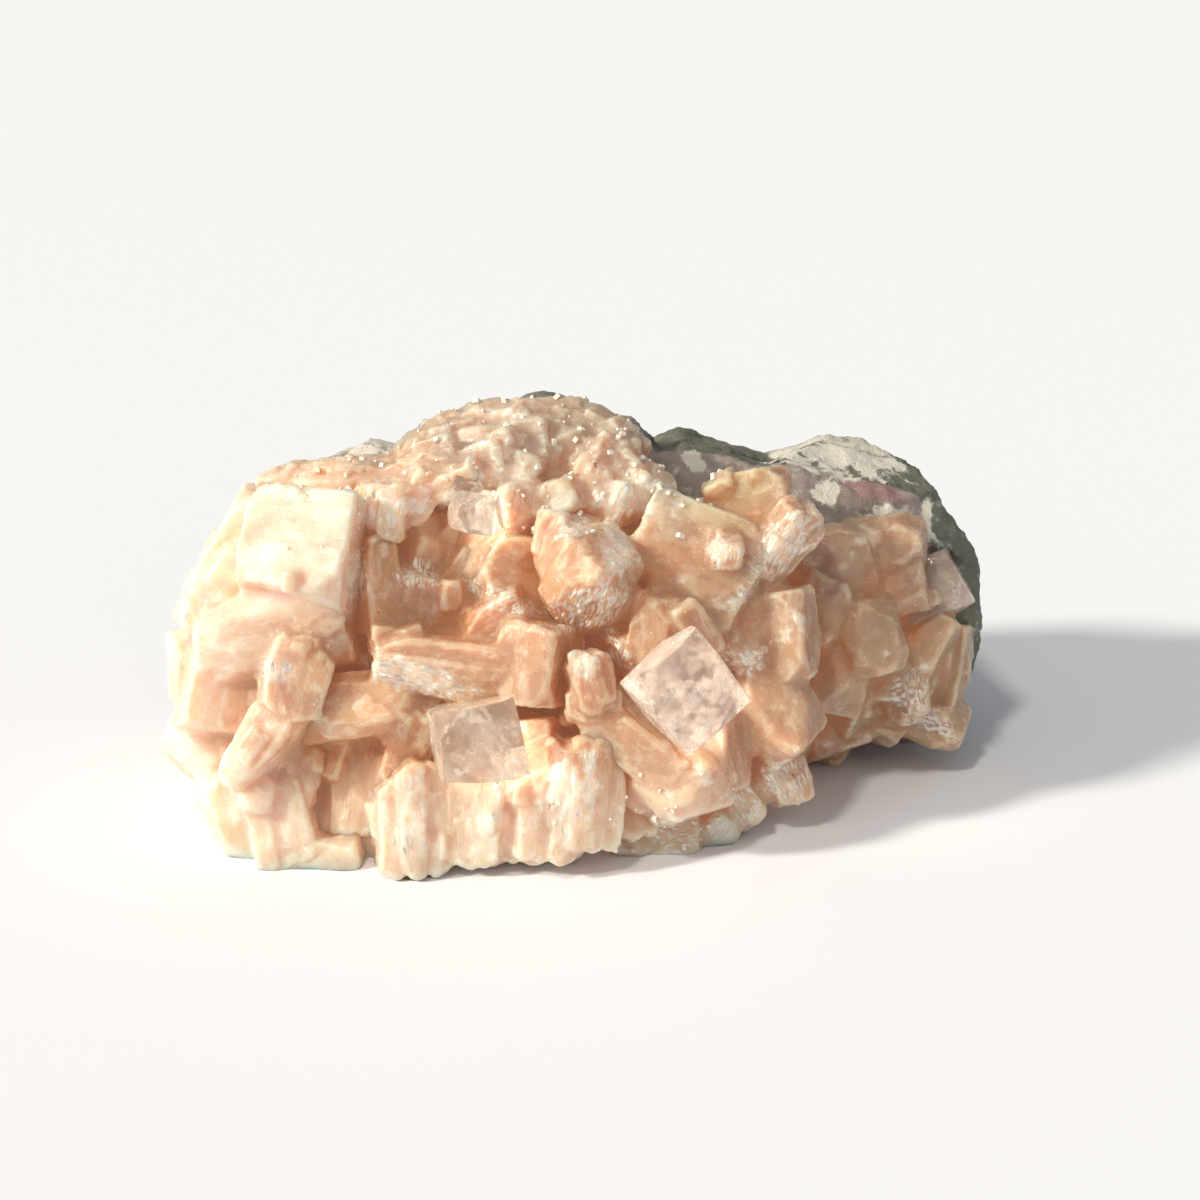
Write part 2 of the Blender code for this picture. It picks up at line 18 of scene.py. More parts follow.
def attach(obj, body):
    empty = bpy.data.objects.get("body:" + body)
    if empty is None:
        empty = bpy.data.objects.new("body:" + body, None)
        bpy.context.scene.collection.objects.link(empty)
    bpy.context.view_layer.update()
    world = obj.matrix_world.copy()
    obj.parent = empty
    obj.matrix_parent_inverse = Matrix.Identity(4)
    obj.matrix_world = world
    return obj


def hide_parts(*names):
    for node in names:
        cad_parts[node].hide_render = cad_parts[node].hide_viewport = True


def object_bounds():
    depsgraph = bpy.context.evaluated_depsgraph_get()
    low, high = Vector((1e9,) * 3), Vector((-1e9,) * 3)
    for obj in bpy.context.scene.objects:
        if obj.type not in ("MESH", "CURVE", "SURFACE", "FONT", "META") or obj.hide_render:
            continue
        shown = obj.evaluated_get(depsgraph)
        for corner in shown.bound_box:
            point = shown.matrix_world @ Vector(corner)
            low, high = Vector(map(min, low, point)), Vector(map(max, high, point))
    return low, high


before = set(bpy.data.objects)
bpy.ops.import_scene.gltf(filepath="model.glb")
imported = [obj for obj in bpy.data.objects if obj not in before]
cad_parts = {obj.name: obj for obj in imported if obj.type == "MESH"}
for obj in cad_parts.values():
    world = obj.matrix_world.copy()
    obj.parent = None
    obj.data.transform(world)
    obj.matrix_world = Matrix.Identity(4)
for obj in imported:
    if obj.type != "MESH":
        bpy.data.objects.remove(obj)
CAD_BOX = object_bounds()

bl_info = {
    "name": "Zeolite Cluster",
    "version": (1, 0, 0),
    "blender": (4, 5, 0),
    "location": "3D View > Sidebar > Cluster",
    "description": "Builds a stilbite and apophyllite cluster with its rind and its basalt",
    "category": "Add Mesh",
}

MM = 0.001
BODY = "root"

# The crystals are laid out as they are seen from in front of the cluster and a little above it.
# "across" runs from the middle of the cluster to the right, and "up" from the foot of its front row.
SIGHT_TILT = math.radians(22)
EYE_DISTANCE = 450
EYE_ACROSS = 4.4
EYE_UP = 40.8
FRONT_Y = -34
VIEW_WIDTH = 174.72

SIGHT_RIGHT = Vector((1, 0, 0))
SIGHT_AWAY = Vector((0, math.cos(SIGHT_TILT), -math.sin(SIGHT_TILT)))
SIGHT_UP = Vector((0, math.sin(SIGHT_TILT), math.cos(SIGHT_TILT)))
SIGHT_AXES = Matrix((SIGHT_RIGHT, SIGHT_AWAY, SIGHT_UP)).transposed()
EYE = Vector((0, FRONT_Y, 0)) + SIGHT_RIGHT * EYE_ACROSS + SIGHT_UP * EYE_UP - SIGHT_AWAY * EYE_DISTANCE

RIND_FRONT_Y = 5
LOBE_SETBACK = 9
RIND_OVERLAP = 0.9


class Crystal(NamedTuple):
    """One crystal. Its nearest point is seen at (across, up) and lies at depth y. It is upright and faces
    the eye until it is turned clockwise, leaned towards the eye and rolled about its own length."""

    across: float
    up: float
    y: float
    long: float
    wide: float
    thick: float
    turn: float = 0
    lean: float = 0
    roll: float = 0
    form: str = "block"


class Chunk(NamedTuple):
    """A lump with broken flat faces, given by its middle and its half sizes."""

    x: float
    y: float
    z: float
    half_x: float
    half_y: float
    half_z: float


class Plate(NamedTuple):
    """One convex plate of a crystal: its faces in the cluster's frame, its placing and half sizes, its
    look, which is its crystal's number, form and tone, and the faces that its block is cut by."""

    faces: list
    placing: Matrix
    half: Vector
    look: tuple
    cuts: list


LEFT_SIDE = (
    Crystal(-39.6, 48.2, -22, 17, 17, 14, 98, 12, -18, "slab"),
    Crystal(-48.0, 49.2, -11, 16, 9, 11, 34, 8, 10),
    Crystal(-51.6, 43.0, -9, 14, 9, 11, 27, 5, 15),
    Crystal(-54.6, 39.2, -13, 5, 5, 6, 10, 20, 20),
    Crystal(-43.0, 35.8, -24, 22, 12, 14, 84, 5, -10, "lump"),
    Crystal(-51.0, 28.5, -21, 15, 12, 13, 12, -5, 16),
    Crystal(-40.6, 30.0, -27, 13, 11, 12, 12, 0, 8, "sheaf"),
    Crystal(-51.4, 18.8, -21, 16, 12, 14, -58, -6, 18, "lump"),
    Crystal(-44.6, 20.0, -30, 17, 8, 9, 38, 6, -22, "sheaf"),
    Crystal(-40.2, 16.0, -26, 11, 5, 7, -5, 0, 20),
    Crystal(-47.8, 9.0, -25, 14, 11, 12, -16, -4, 12),
    Crystal(-42.0, 9.4, -29, 16, 8, 10, -12, 0, -12, "column"),
    Crystal(-46.0, 12.8, -29, 6, 5, 6, 5, 0, 8),
    Crystal(-36.8, 3.4, -31, 13, 6, 9, 84, 10, 12),
)

CENTRE_LEFT = (
    Crystal(-35.5, 21.0, -23, 13, 11, 11, 15, 0, -20),
    Crystal(-35.7, 11.5, -24, 14, 7, 9, -4, 0, 12, "column"),
    Crystal(-30.8, 13.0, -26, 14, 6.5, 8, 4, 0, -12, "column"),
    Crystal(-18.5, 31.5, -25, 20, 9.5, 11, 103, 0, 14, "sheaf"),
    Crystal(-32.0, 25.0, -27, 18, 9.5, 11, 86, 0, -8, "lump"),
    Crystal(-23.6, 23.6, -28, 9, 8, 9, 22, 38, 10, "sheaf"),
    Crystal(-25.5, 35.2, -22, 8, 4.5, 6, 82, 0, 20),
    Crystal(-4.6, 32.0, -27, 12, 9, 13, 4, 4, -24),
    Crystal(-10.0, 38.0, -21, 9, 7, 8, 62, 10, 12),
    Crystal(-6.5, 43.5, -16, 14, 11, 12, -58, 6, 10),
    Crystal(-13.0, 40.5, -16, 12, 12, 11, 32, 0, -12),
    Crystal(-20.8, 38.8, -18, 12, 11, 12, 2, 8, 14),
    Crystal(-23.5, 46.5, -13, 16, 12, 13, 12, 6, -14, "lump"),
    Crystal(-14.4, 47.0, -11, 15, 12, 12, -6, 4, 12),
    Crystal(-6.5, 50.0, -8, 11, 10, 10, 24, 0, -10),
    Crystal(-29.2, 43.0, -18, 14, 5.5, 10, -8, 0, 28),
    Crystal(-24.5, 17.5, -26, 9, 7, 8, 12, 0, 10),
)

TOP_CRUST = (
    Crystal(-36.0, 57.2, -8, 19, 6.5, 12, 86, 8, -24, "lump"),
    Crystal(-27.0, 54.2, -13, 8.5, 8, 9, 8, 8, -14),
    Crystal(-23.0, 55.6, -13, 6, 5.5, 6, 30, 10, 22),
    Crystal(-12.0, 61.2, -9, 8.5, 6.5, 7, 76, 30, 12),
    Crystal(-6.8, 60.0, -9, 6.5, 5.5, 6, 20, 20, -16),
    Crystal(-8.6, 54.6, -12, 6, 4, 6, 6, 10, 16),
    Crystal(-1.6, 55.2, -12, 7, 5.5, 7, 62, 12, -10),
    Crystal(4.4, 61.4, -6, 7, 5, 6, 48, 25, 14),
    Crystal(8.2, 59.2, -7, 7, 5, 6, 40, 20, -12),
    Crystal(11.8, 56.4, -9, 7, 5.5, 6, 34, 24, 16),
    Crystal(5.6, 56.4, -10, 9, 7, 8, 22, 8, -14, "column"),
    Crystal(-8.0, 66.4, 0, 22, 9, 17, 90, 10, 6, "lump"),
    Crystal(-18.5, 62.8, -1, 15, 9, 13, 64, 6, -8, "lump"),
    Crystal(2.6, 65.4, 2, 14, 9, 13, 116, 8, 10, "lump"),
    Crystal(-10.5, 63.2, -5, 17, 6, 9, 84, 14, -10),
    Crystal(-0.7, 61.2, -5, 11, 8.5, 9, 20, 10, 12),
    Crystal(-21.2, 59.4, -8, 10, 6.5, 9, 70, 8, 8),
    Crystal(-17.8, 57.6, -12, 4.5, 4, 5, 66, 15, 20),
    Crystal(7.4, 62.8, -1, 7.5, 5.5, 6, 38, 12, -20),
    Crystal(-30.0, 59.2, -3, 12, 6, 9, 82, 12, 14, "lump"),
)

CENTRE = (
    Crystal(2.8, 44.2, -24, 14, 12.5, 13, 28, 40, 12, "lump"),
    Crystal(0.6, 47.8, -20, 10, 9, 10, 20, 20, -14, "lump"),
    Crystal(18.6, 46.4, -15, 18, 16, 14, 116, 4, -10, "slab"),
    Crystal(23.0, 48.2, -17, 4.5, 4, 5, 20, 30, 12),
    Crystal(31.0, 49.4, -14, 14, 7.5, 7.5, 38, 14, 28, "rod"),
    Crystal(27.4, 56.0, -5, 10, 7.5, 8, 80, 10, -10),
    Crystal(22.0, 57.4, -4, 5, 3.5, 5, 60, 15, 15),
    Crystal(32.0, 35.6, -18, 13, 8, 9, -8, 6, -26),
    Crystal(2.8, 29.4, -30, 9, 6, 7, -12, 10, 14, "sheaf"),
    Crystal(3.6, 25.6, -28, 8, 4.5, 6, 84, 0, 10),
    Crystal(12.4, 36.6, -23, 11, 6, 7, 10, 16, -18),
    Crystal(17.8, 36.4, -23, 9, 5, 6, -28, 14, 16),
    Crystal(8.0, 33.6, -20, 13, 5.5, 8, -26, 4, 24, "sheaf"),
    Crystal(23.5, 37.0, -17, 11, 9, 10, -36, 4, 10),
    Crystal(29.6, 25.4, -21, 16, 12, 11, -34, 4, 12, "lump"),
    Crystal(10.0, 20.0, -30, 15, 7.5, 9, -48, 6, -18),
    Crystal(16.4, 14.4, -31, 13, 12, 12, 72, 10, -6, "lump"),
    Crystal(10.0, 14.6, -28, 8, 7, 8, 32, 6, 12),
    Crystal(22.6, 18.6, -27, 12, 5, 9, -5, 4, -30),
    Crystal(31.0, 14.8, -19, 9, 7.5, 9, -26, 8, 14, "sheaf"),
    Crystal(25.4, 11.4, -21, 7, 5.5, 7, -34, 12, -14, "sheaf"),
    Crystal(21.0, 6.8, -23, 7, 6, 7, 40, 6, 16),
    Crystal(14.6, 5.6, -25, 10, 6, 9, 86, 6, -12),
    Crystal(6.8, 7.4, -26, 10, 7, 9, -48, 8, 14),
    Crystal(29.0, 18.5, -16, 11, 9, 9, 12, 0, 10),
)

FRONT_ROW = (
    Crystal(-23.6, 9.0, -32.5, 18, 9, 11, -4, 4, 8, "column"),
    Crystal(-17.4, 8.0, -30, 12, 5, 8, 9, 0, -18, "column"),
    Crystal(-12.6, 9.6, -32, 16, 5.5, 9, 1, 3, -12, "column"),
    Crystal(-8.0, 9.6, -31, 15, 5, 9, 0, 3, 12, "column"),
    Crystal(-2.4, 11.6, -33, 19, 8, 10, 6, 4, -10, "column"),
    Crystal(3.2, 13.6, -31.5, 19, 7, 10, 3, 2, 14, "column"),
    Crystal(-5.0, 17.4, -28, 12, 6, 8, 0, 0, -14),
    Crystal(8.0, 11.8, -26, 13, 5, 8, -12, 0, 18, "column"),
)

RIGHT_LOBE = (
    Crystal(45.6, 49.2, 1, 14, 9, 11, 84, 10, 8, "lump"),
    Crystal(38.4, 46.0, -3, 13, 11, 12, 68, 6, -14, "lump"),
    Crystal(36.6, 39.4, -6, 10, 9, 10, 22, 4, 12),
    Crystal(43.8, 35.4, -8, 12, 9.5, 10, -16, 6, 14, "lump"),
    Crystal(51.0, 34.4, 0, 11, 9, 10, 30, 4, -12),
    Crystal(53.0, 23.6, 1, 12, 8, 11, 112, 6, 12, "lump"),
    Crystal(50.2, 27.4, -3, 8, 4, 6, -12, 4, 20, "sheaf"),
    Crystal(47.0, 28.4, -2, 6, 4, 5, 88, 6, 12),
    Crystal(55.4, 31.8, 5, 12, 6.5, 10, 6, 4, -16),
    Crystal(44.8, 24.0, 1, 10, 7, 9, -58, 6, 14),
    Crystal(38.4, 31.0, -7, 14, 12, 11, 12, 4, -10, "lump"),
    Crystal(37.0, 23.0, 0, 12, 9, 10, -22, 0, 14),
    Crystal(37.6, 18.6, 5, 6, 4, 7, -62, 0, 10),
    Crystal(46.4, 41.6, -1, 13, 8, 10, 80, 8, -12),
)

# Crystals at the two ends, which the front view hides. Each has its middle's x, y and z, the bearing that
# it points to as seen from above, with 0 towards +X, its length, width and thickness, and its form.
END_CRYSTALS = (
    (-52, -4, 10, 188, 14, 11, 10, "lump"),
    (-53, -8, 22, 196, 14, 11, 10, "block"),
    (-50, -2, 33, 184, 13, 11, 10, "lump"),
    (-45, -4, 43, 190, 11, 10, 9, "block"),
    (-52, 2, 25, 170, 12, 9, 8, "sheaf"),
    (-51, 3, 14, 172, 12, 9, 8, "block"),
    (-47, -16, 9, 214, 12, 10, 9, "block"),
    (-50, 4, 5, 168, 12, 9, 9, "block"),
    (53, 8, 18, -6, 12, 9, 8, "block"),
    (55, 12, 26, 4, 10, 8, 8, "lump"),
    (51, 3, 14, -28, 11, 8, 8, "sheaf"),
    (42, 4, 11, -40, 10, 8, 8, "block"),
)

STILBITE_BED = (
    Chunk(-30, 3, 18, 27, 17, 27),
    Chunk(-8, 3, 24, 26, 17, 31),
    Chunk(18, 3, 18, 22, 17, 28),
    Chunk(42, 13, 26, 15, 12, 14),
    Chunk(-14, -12, 3, 34, 15, 15),
    Chunk(12, -6, 3, 18, 14, 15),
)

CLEAR_CRYSTALS = {
    "clear_crystal_front": (
        Crystal(17.2, 27.4, -36, 13.5, 12.5, 10, -38, 8, 4, "clear"),
    ),
    "clear_crystal_left": (
        Crystal(-13.6, 20.2, -33.5, 11, 12.5, 10, -6, 6, 10, "clear"),
        Crystal(-6.6, 17.4, -33, 5.5, 3, 4, 80, 0, 20, "clear"),
    ),
    "clear_crystals_top": (
        Crystal(-14.6, 54.0, -16, 6, 5.5, 6, 8, 12, 22, "clear"),
        Crystal(-11.6, 53.4, -15, 5, 3.5, 5, -14, 18, -12, "clear"),
        Crystal(-15.4, 57.0, -14, 4, 4, 4, 24, 24, 16, "clear"),
    ),
    "clear_crystal_right": (
        Crystal(53.2, 42.2, 2, 10, 8.5, 8, 62, 6, -12, "clear"),
    ),
}


class Spot(NamedTuple):
    """A frosted or glittering patch, seen at (across, up), with its half sizes and its turn clockwise.
    Frost whitens it, partly as real frosting and partly as a painted highlight on the brightest spots, and
    glitter gives it tiny flakes that catch the light, laid on partly as painted glints."""

    across: float
    up: float
    half_across: float
    half_up: float
    turn: float
    frost: float
    glitter: float


# Frost in these patches is partly real frosting and partly a painted highlight on bright spots; glitter is
# partly painted glints.
SPOTS = (
    Spot(-28.0, 54.0, 3.5, 4.0, 0, 0.9, 0.5),
    Spot(-23.0, 54.6, 3.0, 1.5, 0, 0.8, 0.9),
    Spot(-13.7, 54.6, 4.0, 3.5, 0, 1.0, 0.6),
    Spot(-9.3, 58.6, 4.5, 2.0, 0, 1.0, 0.3),
    Spot(-1.7, 55.4, 3.5, 2.5, 0, 0.9, 0.2),
    Spot(8.5, 55.8, 6.0, 4.0, 20, 0.8, 0.6),
    Spot(6.6, 48.4, 2.6, 5.0, 0, 1.0, 0.5),
    Spot(0.0, 51.0, 3.0, 1.5, -20, 0.5, 0.9),
    Spot(2.7, 39.8, 6.5, 3.6, -20, 0.3, 1.0),
    Spot(-9.7, 40.7, 6.0, 1.6, 25, 0.2, 0.9),
    Spot(-22.5, 29.9, 9.0, 2.2, 14, 1.0, 1.0),
    Spot(-21.8, 44.6, 3.0, 2.5, 0, 0.3, 0.9),
    Spot(22.2, 47.5, 2.4, 2.2, 0, 0.8, 1.0),
    Spot(2.4, 30.6, 2.0, 2.6, 0, 0.8, 0.8),
    Spot(25.9, 31.9, 2.6, 2.0, 0, 0.7, 1.0),
    Spot(31.3, 48.8, 6.5, 3.0, -45, 0.7, 0.8),
    Spot(7.0, 34.0, 1.8, 3.0, -20, 0.3, 1.0),
    Spot(-24.3, 8.8, 4.5, 8.0, 0, 0.9, 0.4),
    Spot(-11.3, 9.5, 4.0, 7.0, 0, 0.7, 0.4),
    Spot(-1.0, 11.0, 3.0, 8.0, 0, 1.0, 0.5),
    Spot(2.9, 13.4, 1.2, 5.0, 0, 0.9, 1.0),
    Spot(18.5, 14.9, 3.0, 2.0, 0, 0.7, 0.3),
    Spot(31.6, 14.6, 3.5, 3.0, 0, 0.4, 1.0),
    Spot(21.7, 7.3, 2.6, 2.6, 0, 0.9, 0.5),
    Spot(25.4, 10.5, 2.4, 2.6, 0, 0.4, 1.0),
    Spot(15.0, 6.7, 3.5, 3.0, 0, 0.4, 0.8),
    Spot(-8.4, 67.3, 5.0, 2.5, 0, 0.5, 0.5),
    Spot(-13.0, 63.0, 9.0, 3.0, 0, 0.5, 0.5),
    Spot(43.9, 50.5, 5.0, 2.5, 0, 0.6, 0.2),
    Spot(53.0, 22.6, 4.0, 2.0, 20, 0.5, 0.7),
    Spot(49.2, 27.1, 3.0, 3.0, 0, 0.3, 0.9),
    Spot(31.5, 37.9, 4.0, 3.6, 0, 0.4, 0.3),
    Spot(-55.6, 38.0, 2.5, 3.0, 0, 0.8, 0.7),
    Spot(-42.9, 30.5, 3.0, 2.0, 0, 0.5, 1.0),
    Spot(-31.0, 43.7, 1.6, 4.0, 0, 0.7, 1.0),
    Spot(25.0, 41.4, 3.4, 1.0, -45, 0.3, 1.0),
)


class Mark(NamedTuple):
    """A patch on the rind, seen at (across, up), with its half sizes and its turn clockwise."""

    across: float
    up: float
    half_across: float
    half_up: float
    turn: float


RIND_MARKS = {
    "crust": (
        Mark(39.8, 61.8, 10.0, 3.0, 8),
        Mark(31.0, 62.5, 4.0, 1.6, 0),
        Mark(37.6, 56.8, 2.2, 2.0, 30),
        Mark(52.0, 51.0, 0.8, 4.5, 0),
        Mark(18.0, 61.0, 2.2, 1.4, 30),
        Mark(46.0, 53.5, 3.0, 1.2, 0),
        Mark(-28.0, 63.0, 6.0, 3.0, -25),
        Mark(-18.0, 67.5, 5.0, 3.0, -20),
    ),
    "rose": (
        Mark(43.7, 57.2, 6.5, 1.8, 14),
        Mark(14.3, 64.1, 3.0, 2.0, 20),
        Mark(25.0, 58.5, 2.5, 1.2, 20),
    ),
    "dark": (
        Mark(22.6, 63.7, 1.8, 0.9, 0),
        Mark(30.0, 61.6, 2.2, 1.1, 25),
    ),
}


class StilbiteGroup(NamedTuple):
    """A stretch of the stilbite that is modelled as one mesh."""

    name: str
    label: str
    crystals: tuple
    beds: tuple
    ends: tuple
    sprouts: int
    sprout_foot: float


STILBITE_GROUPS = (
    StilbiteGroup("stilbite_left", "left side", LEFT_SIDE, (0,), tuple(range(8)), 24, 0),
    StilbiteGroup("stilbite_centre_left", "centre left", CENTRE_LEFT, (), (), 7, 0),
    StilbiteGroup("stilbite_crust", "top crust", TOP_CRUST, (1,), (), 70, 34),
    StilbiteGroup("stilbite_centre", "centre", CENTRE, (2, 5), (), 13, 0),
    StilbiteGroup("stilbite_front_row", "front row", FRONT_ROW, (4,), (), 8, 0),
    StilbiteGroup("stilbite_lobe", "right lobe", RIGHT_LOBE, (3,), tuple(range(8, 12)), 9, 0),
)


class Habit(NamedTuple):
    """How a form grows. A crystal of it is stacked from plates this wide, which slip past each other this
    far and have this many chipped corners. Its faces are rounded off, and its growth steps show, this
    strongly."""

    plate_width: float
    slip: float
    chips: int
    rounding: float
    stepping: float


HABITS = {
    "block": Habit(5.2, 0.5, 4, 0.06, 0.4),
    "slab": Habit(6, 0.25, 3, 0.1, 0.5),
    "rod": Habit(1.9, 0.5, 2, 0.06, 1),
    "lump": Habit(12, 0.3, 0, 0.3, 0.2),
    "column": Habit(3.4, 1.2, 3, 0.06, 0.5),
    "sheaf": Habit(2.8, 1.0, 3, 0.06, 0.6),
    "bed": Habit(99, 0, 0, 1, 0.3),
    "sprout": Habit(99, 0, 0, 0.06, 0.4),
}
PLATE_LAP = 0.2
PLATE_TWIST = 1.6
PLATE_CHIP_DEPTH = 0.74
SMOOTHING_ROUNDS = 12

# The mesh's faces are this much larger while the plates are being fused.
FIRST_CELLS = 1.4

# Points this far inside or outside a crystal's faces, in millimetres, are drawn onto them.
DEEPEST_DRAWN = -0.9
HIGHEST_DRAWN = 0.35

# The small facets that a crystal's surface is broken into: their size across and along it, how much they
# tilt, and how deep they are in millimetres on plain faces and in the frosted patches.
CHIP_SIZE = np.array((1.7, 1.7, 3.2))
CHIP_TILT = 0.55
CHIP_DEPTHS = (0.16, 0.5)

# Small crystals keep this height above the ground and this far inside the box of the solids. Their half
# sizes are these shares of a drawn size.
SPROUT_LOWEST = 2
SPROUT_SIDE_ROOM = 2
SPROUT_TOP_ROOM = 1.5
SPROUT_SHARES = ((0.6, 1.1), (0.5, 0.9), (0.9, 1.7))
SPROUT_TRIES = 30

# A bed's ellipsoid has this many faces. The end crystals and the beds are numbered from here on.
BED_FACES = 26
FIRST_END = 100
FIRST_BED = 200

# A block is added this much larger than the crystal that is cut from it.
OVERSIZE = 1.5

VEIL_THICKNESS = 0.06
VEIL_INSET = 0.5

# A rock's points nearer than this are merged, and its foot, the faces below this height, is drawn down
# this far.
MERGE_DISTANCE = 0.01
FOOT_HEIGHT = 0.2
FOOT_DEPTH = 3

# How far red, green and blue light travel in the stilbite, next to each other.
SCATTER = (1.0, 0.5, 0.32)
STILBITE_IOR = 1.5
CLEAR_IOR = 1.535
CLEAR_DENSITY = 12.0
CLEAR_TINTS = {
    "clear_crystal_front": (0.98, 0.92, 0.88),
    "clear_crystal_left": (0.95, 0.94, 0.87),
    "clear_crystals_top": (0.97, 0.94, 0.90),
    "clear_crystal_right": (0.87, 0.89, 0.90),
}
MILK_COLOUR = (0.95, 0.82, 0.72)
VEIL_COLOUR = (0.97, 0.84, 0.75)
SPECK_COLOUR = (0.10, 0.06, 0.04)

# Where the two suns stand, as seen from the cluster.
KEY_TOWARDS = Vector((-0.82, -0.30, 0.48))
TOP_TOWARDS = Vector((-0.285, -0.444, 0.849))
FLOOR_SIZE = 6
SENSOR_WIDTH = 36


def colour_setting(name, description, default):
    """A colour among the settings."""
    return FloatVectorProperty(name=name, description=description, subtype="COLOR", default=default)


def length_setting(name, description, default):
    """A length among the settings."""
    return FloatProperty(name=name, description=description, unit="LENGTH", default=default)


def share_setting(name, description, default):
    """A share from 0 to 1 among the settings."""
    return FloatProperty(name=name, description=description, min=0, max=1, default=default)


def strength_setting(name, description, default):
    """A strength among the settings."""
    return FloatProperty(name=name, description=description, default=default)


class StilbiteSettings(bpy.types.PropertyGroup):
    """What the peach crystals look like."""

    cell: length_setting("Cell", "Size of the mesh's faces", 0.00038)
    closing: length_setting("Closing", "Gaps narrower than twice this are filled", 0.0004)
    relief: length_setting("Relief", "Depth of the growth steps", 0.00022)
    peach: colour_setting("Peach", "Colour of the fresh crystal", (0.60, 0.36, 0.225))
    rosy: colour_setting("Rosy", "Colour of the rosier parts", (0.61, 0.38, 0.28))
    painted_shade: colour_setting("Deep", "Colour down between the crystals", (0.46, 0.17, 0.06))
    # Painted shade: a darker, redder colour mixed into the hollows between the crystals.
    pale: colour_setting("Pale", "Colour of the paler crystals", (0.78, 0.47, 0.27))
    sunlit: colour_setting("Sunlit", "Colour of the palest, sunlit side", (1.0, 0.91, 0.77))
    # Painted glow: an emission in the hollows that stands in for light coming through the crystal.
    glow: colour_setting("Glow", "Light that comes through into the hollows", (0.115, 0.056, 0.03))
    # Frost is partly real frosting and wear, partly a painted highlight on lit crests and bright patches.
    frost: colour_setting("Frost", "Colour of worn edges and frosted tips", (0.92, 0.76, 0.60))
    # The glint colour is also painted into the base colour as glints.
    glint: colour_setting("Glint", "Colour of the tiny bright flakes", (0.98, 0.94, 0.86))
    # Partly the greyer crystals' own colour, partly painted shade on the right side.
    grey_and_shade: colour_setting("Smoky", "Colour of the greyer crystals", (0.46, 0.33, 0.235))
    honey: colour_setting("Honey", "Colour of the yellower crystals", (0.60, 0.45, 0.27))
    depth: length_setting("Depth", "How far light travels inside", 0.007)


class ClearSettings(bpy.types.PropertyGroup):
    """What the see-through crystals look like."""

    clarity: share_setting("Clarity", "Share of light that passes", 0.95)
    milk: share_setting("Milk", "Strength of the milky clouds", 0.45)
    bevel: length_setting("Bevel", "Width of the worn edges", 0.00025)


class RockSettings(bpy.types.PropertyGroup):
    """What the rind and the basalt look like."""

    cell: length_setting("Cell", "Size of the mesh's faces", 0.00065)
    lumps: length_setting("Lumps", "Height of the broken lumps", 0.0016)
    grit: length_setting("Grit", "Height of the grit", 0.0005)
    basalt: colour_setting("Basalt", "Colour of the basalt", (0.175, 0.18, 0.145))
    rind: colour_setting("Rind", "Colour of the rind", (0.44, 0.36, 0.34))
    rose: colour_setting("Rose", "Colour of the rose band in the rind", (0.44, 0.24, 0.235))
    crust: colour_setting("Crust", "Colour of the pale crust on the rind", (0.84, 0.80, 0.70))


class DruseSettings(bpy.types.PropertyGroup):
    """The tiny crystals that are dusted over the large ones."""

    count: IntProperty(name="Count", description="How many tiny crystals there are", default=320, min=1)
    smallest: length_setting("Smallest", "Length of the smallest", 0.0004)
    largest: length_setting("Largest", "Length of the largest", 0.0011)


class StudioSettings(bpy.types.PropertyGroup):
    """The light and the floor."""

    sun: strength_setting("Sun", "Strength of the key light", 3.2)
    top: strength_setting("Top", "Strength of the light from above", 0.9)
    sun_colour: colour_setting("Sun colour", "Colour of the key light", (1.0, 0.93, 0.80))
    softness: FloatProperty(
        name="Softness", description="Width of the key light", subtype="ANGLE", default=math.radians(7)
    )
    fill: strength_setting("Fill", "Strength of the light from all round", 0.32)
    floor: colour_setting("Floor", "Colour of the floor", (0.90, 0.93, 1.0))


class Socket:
    """An output of a shader node. Python's operators on it add the Math nodes."""

    def __init__(self, tree, output):
        self.tree = tree
        self.output = output

    def math(self, operation, *values):
        """Adds a Math node, fed with these values."""
        node = self.tree.nodes.new("ShaderNodeMath")
        node.operation = operation
        for socket, value in zip(node.inputs, values):
            feed(self.tree, socket, value)
        return Socket(self.tree, node.outputs[0])

    def __add__(self, other):
        return self.math("ADD", self, other)

    __radd__ = __add__

    def __sub__(self, other):
        return self.math("SUBTRACT", self, other)

    def __rsub__(self, other):
        return self.math("SUBTRACT", other, self)

    def __mul__(self, other):
        return self.math("MULTIPLY", self, other)

    __rmul__ = __mul__

    def __gt__(self, other):
        return self.math("GREATER_THAN", self, other)

    def clamped(self):
        """The value, kept between 0 and 1."""
        return self.math("MINIMUM", self.math("MAXIMUM", self, 0), 1)

    def above(self, start, end):
        """0 below start, 1 above end, and a smooth ramp between them."""
        node = self.tree.nodes.new("ShaderNodeMapRange")
        node.interpolation_type = "SMOOTHSTEP"
        feed(self.tree, node.inputs["Value"], self)
        node.inputs["From Min"].default_value = start
        node.inputs["From Max"].default_value = end
        return Socket(self.tree, node.outputs["Result"])


def feed(tree, socket, value):
    """Links a socket to another, or sets its value."""
    if isinstance(value, Socket):
        tree.links.new(value.output, socket)
    else:
        socket.default_value = value


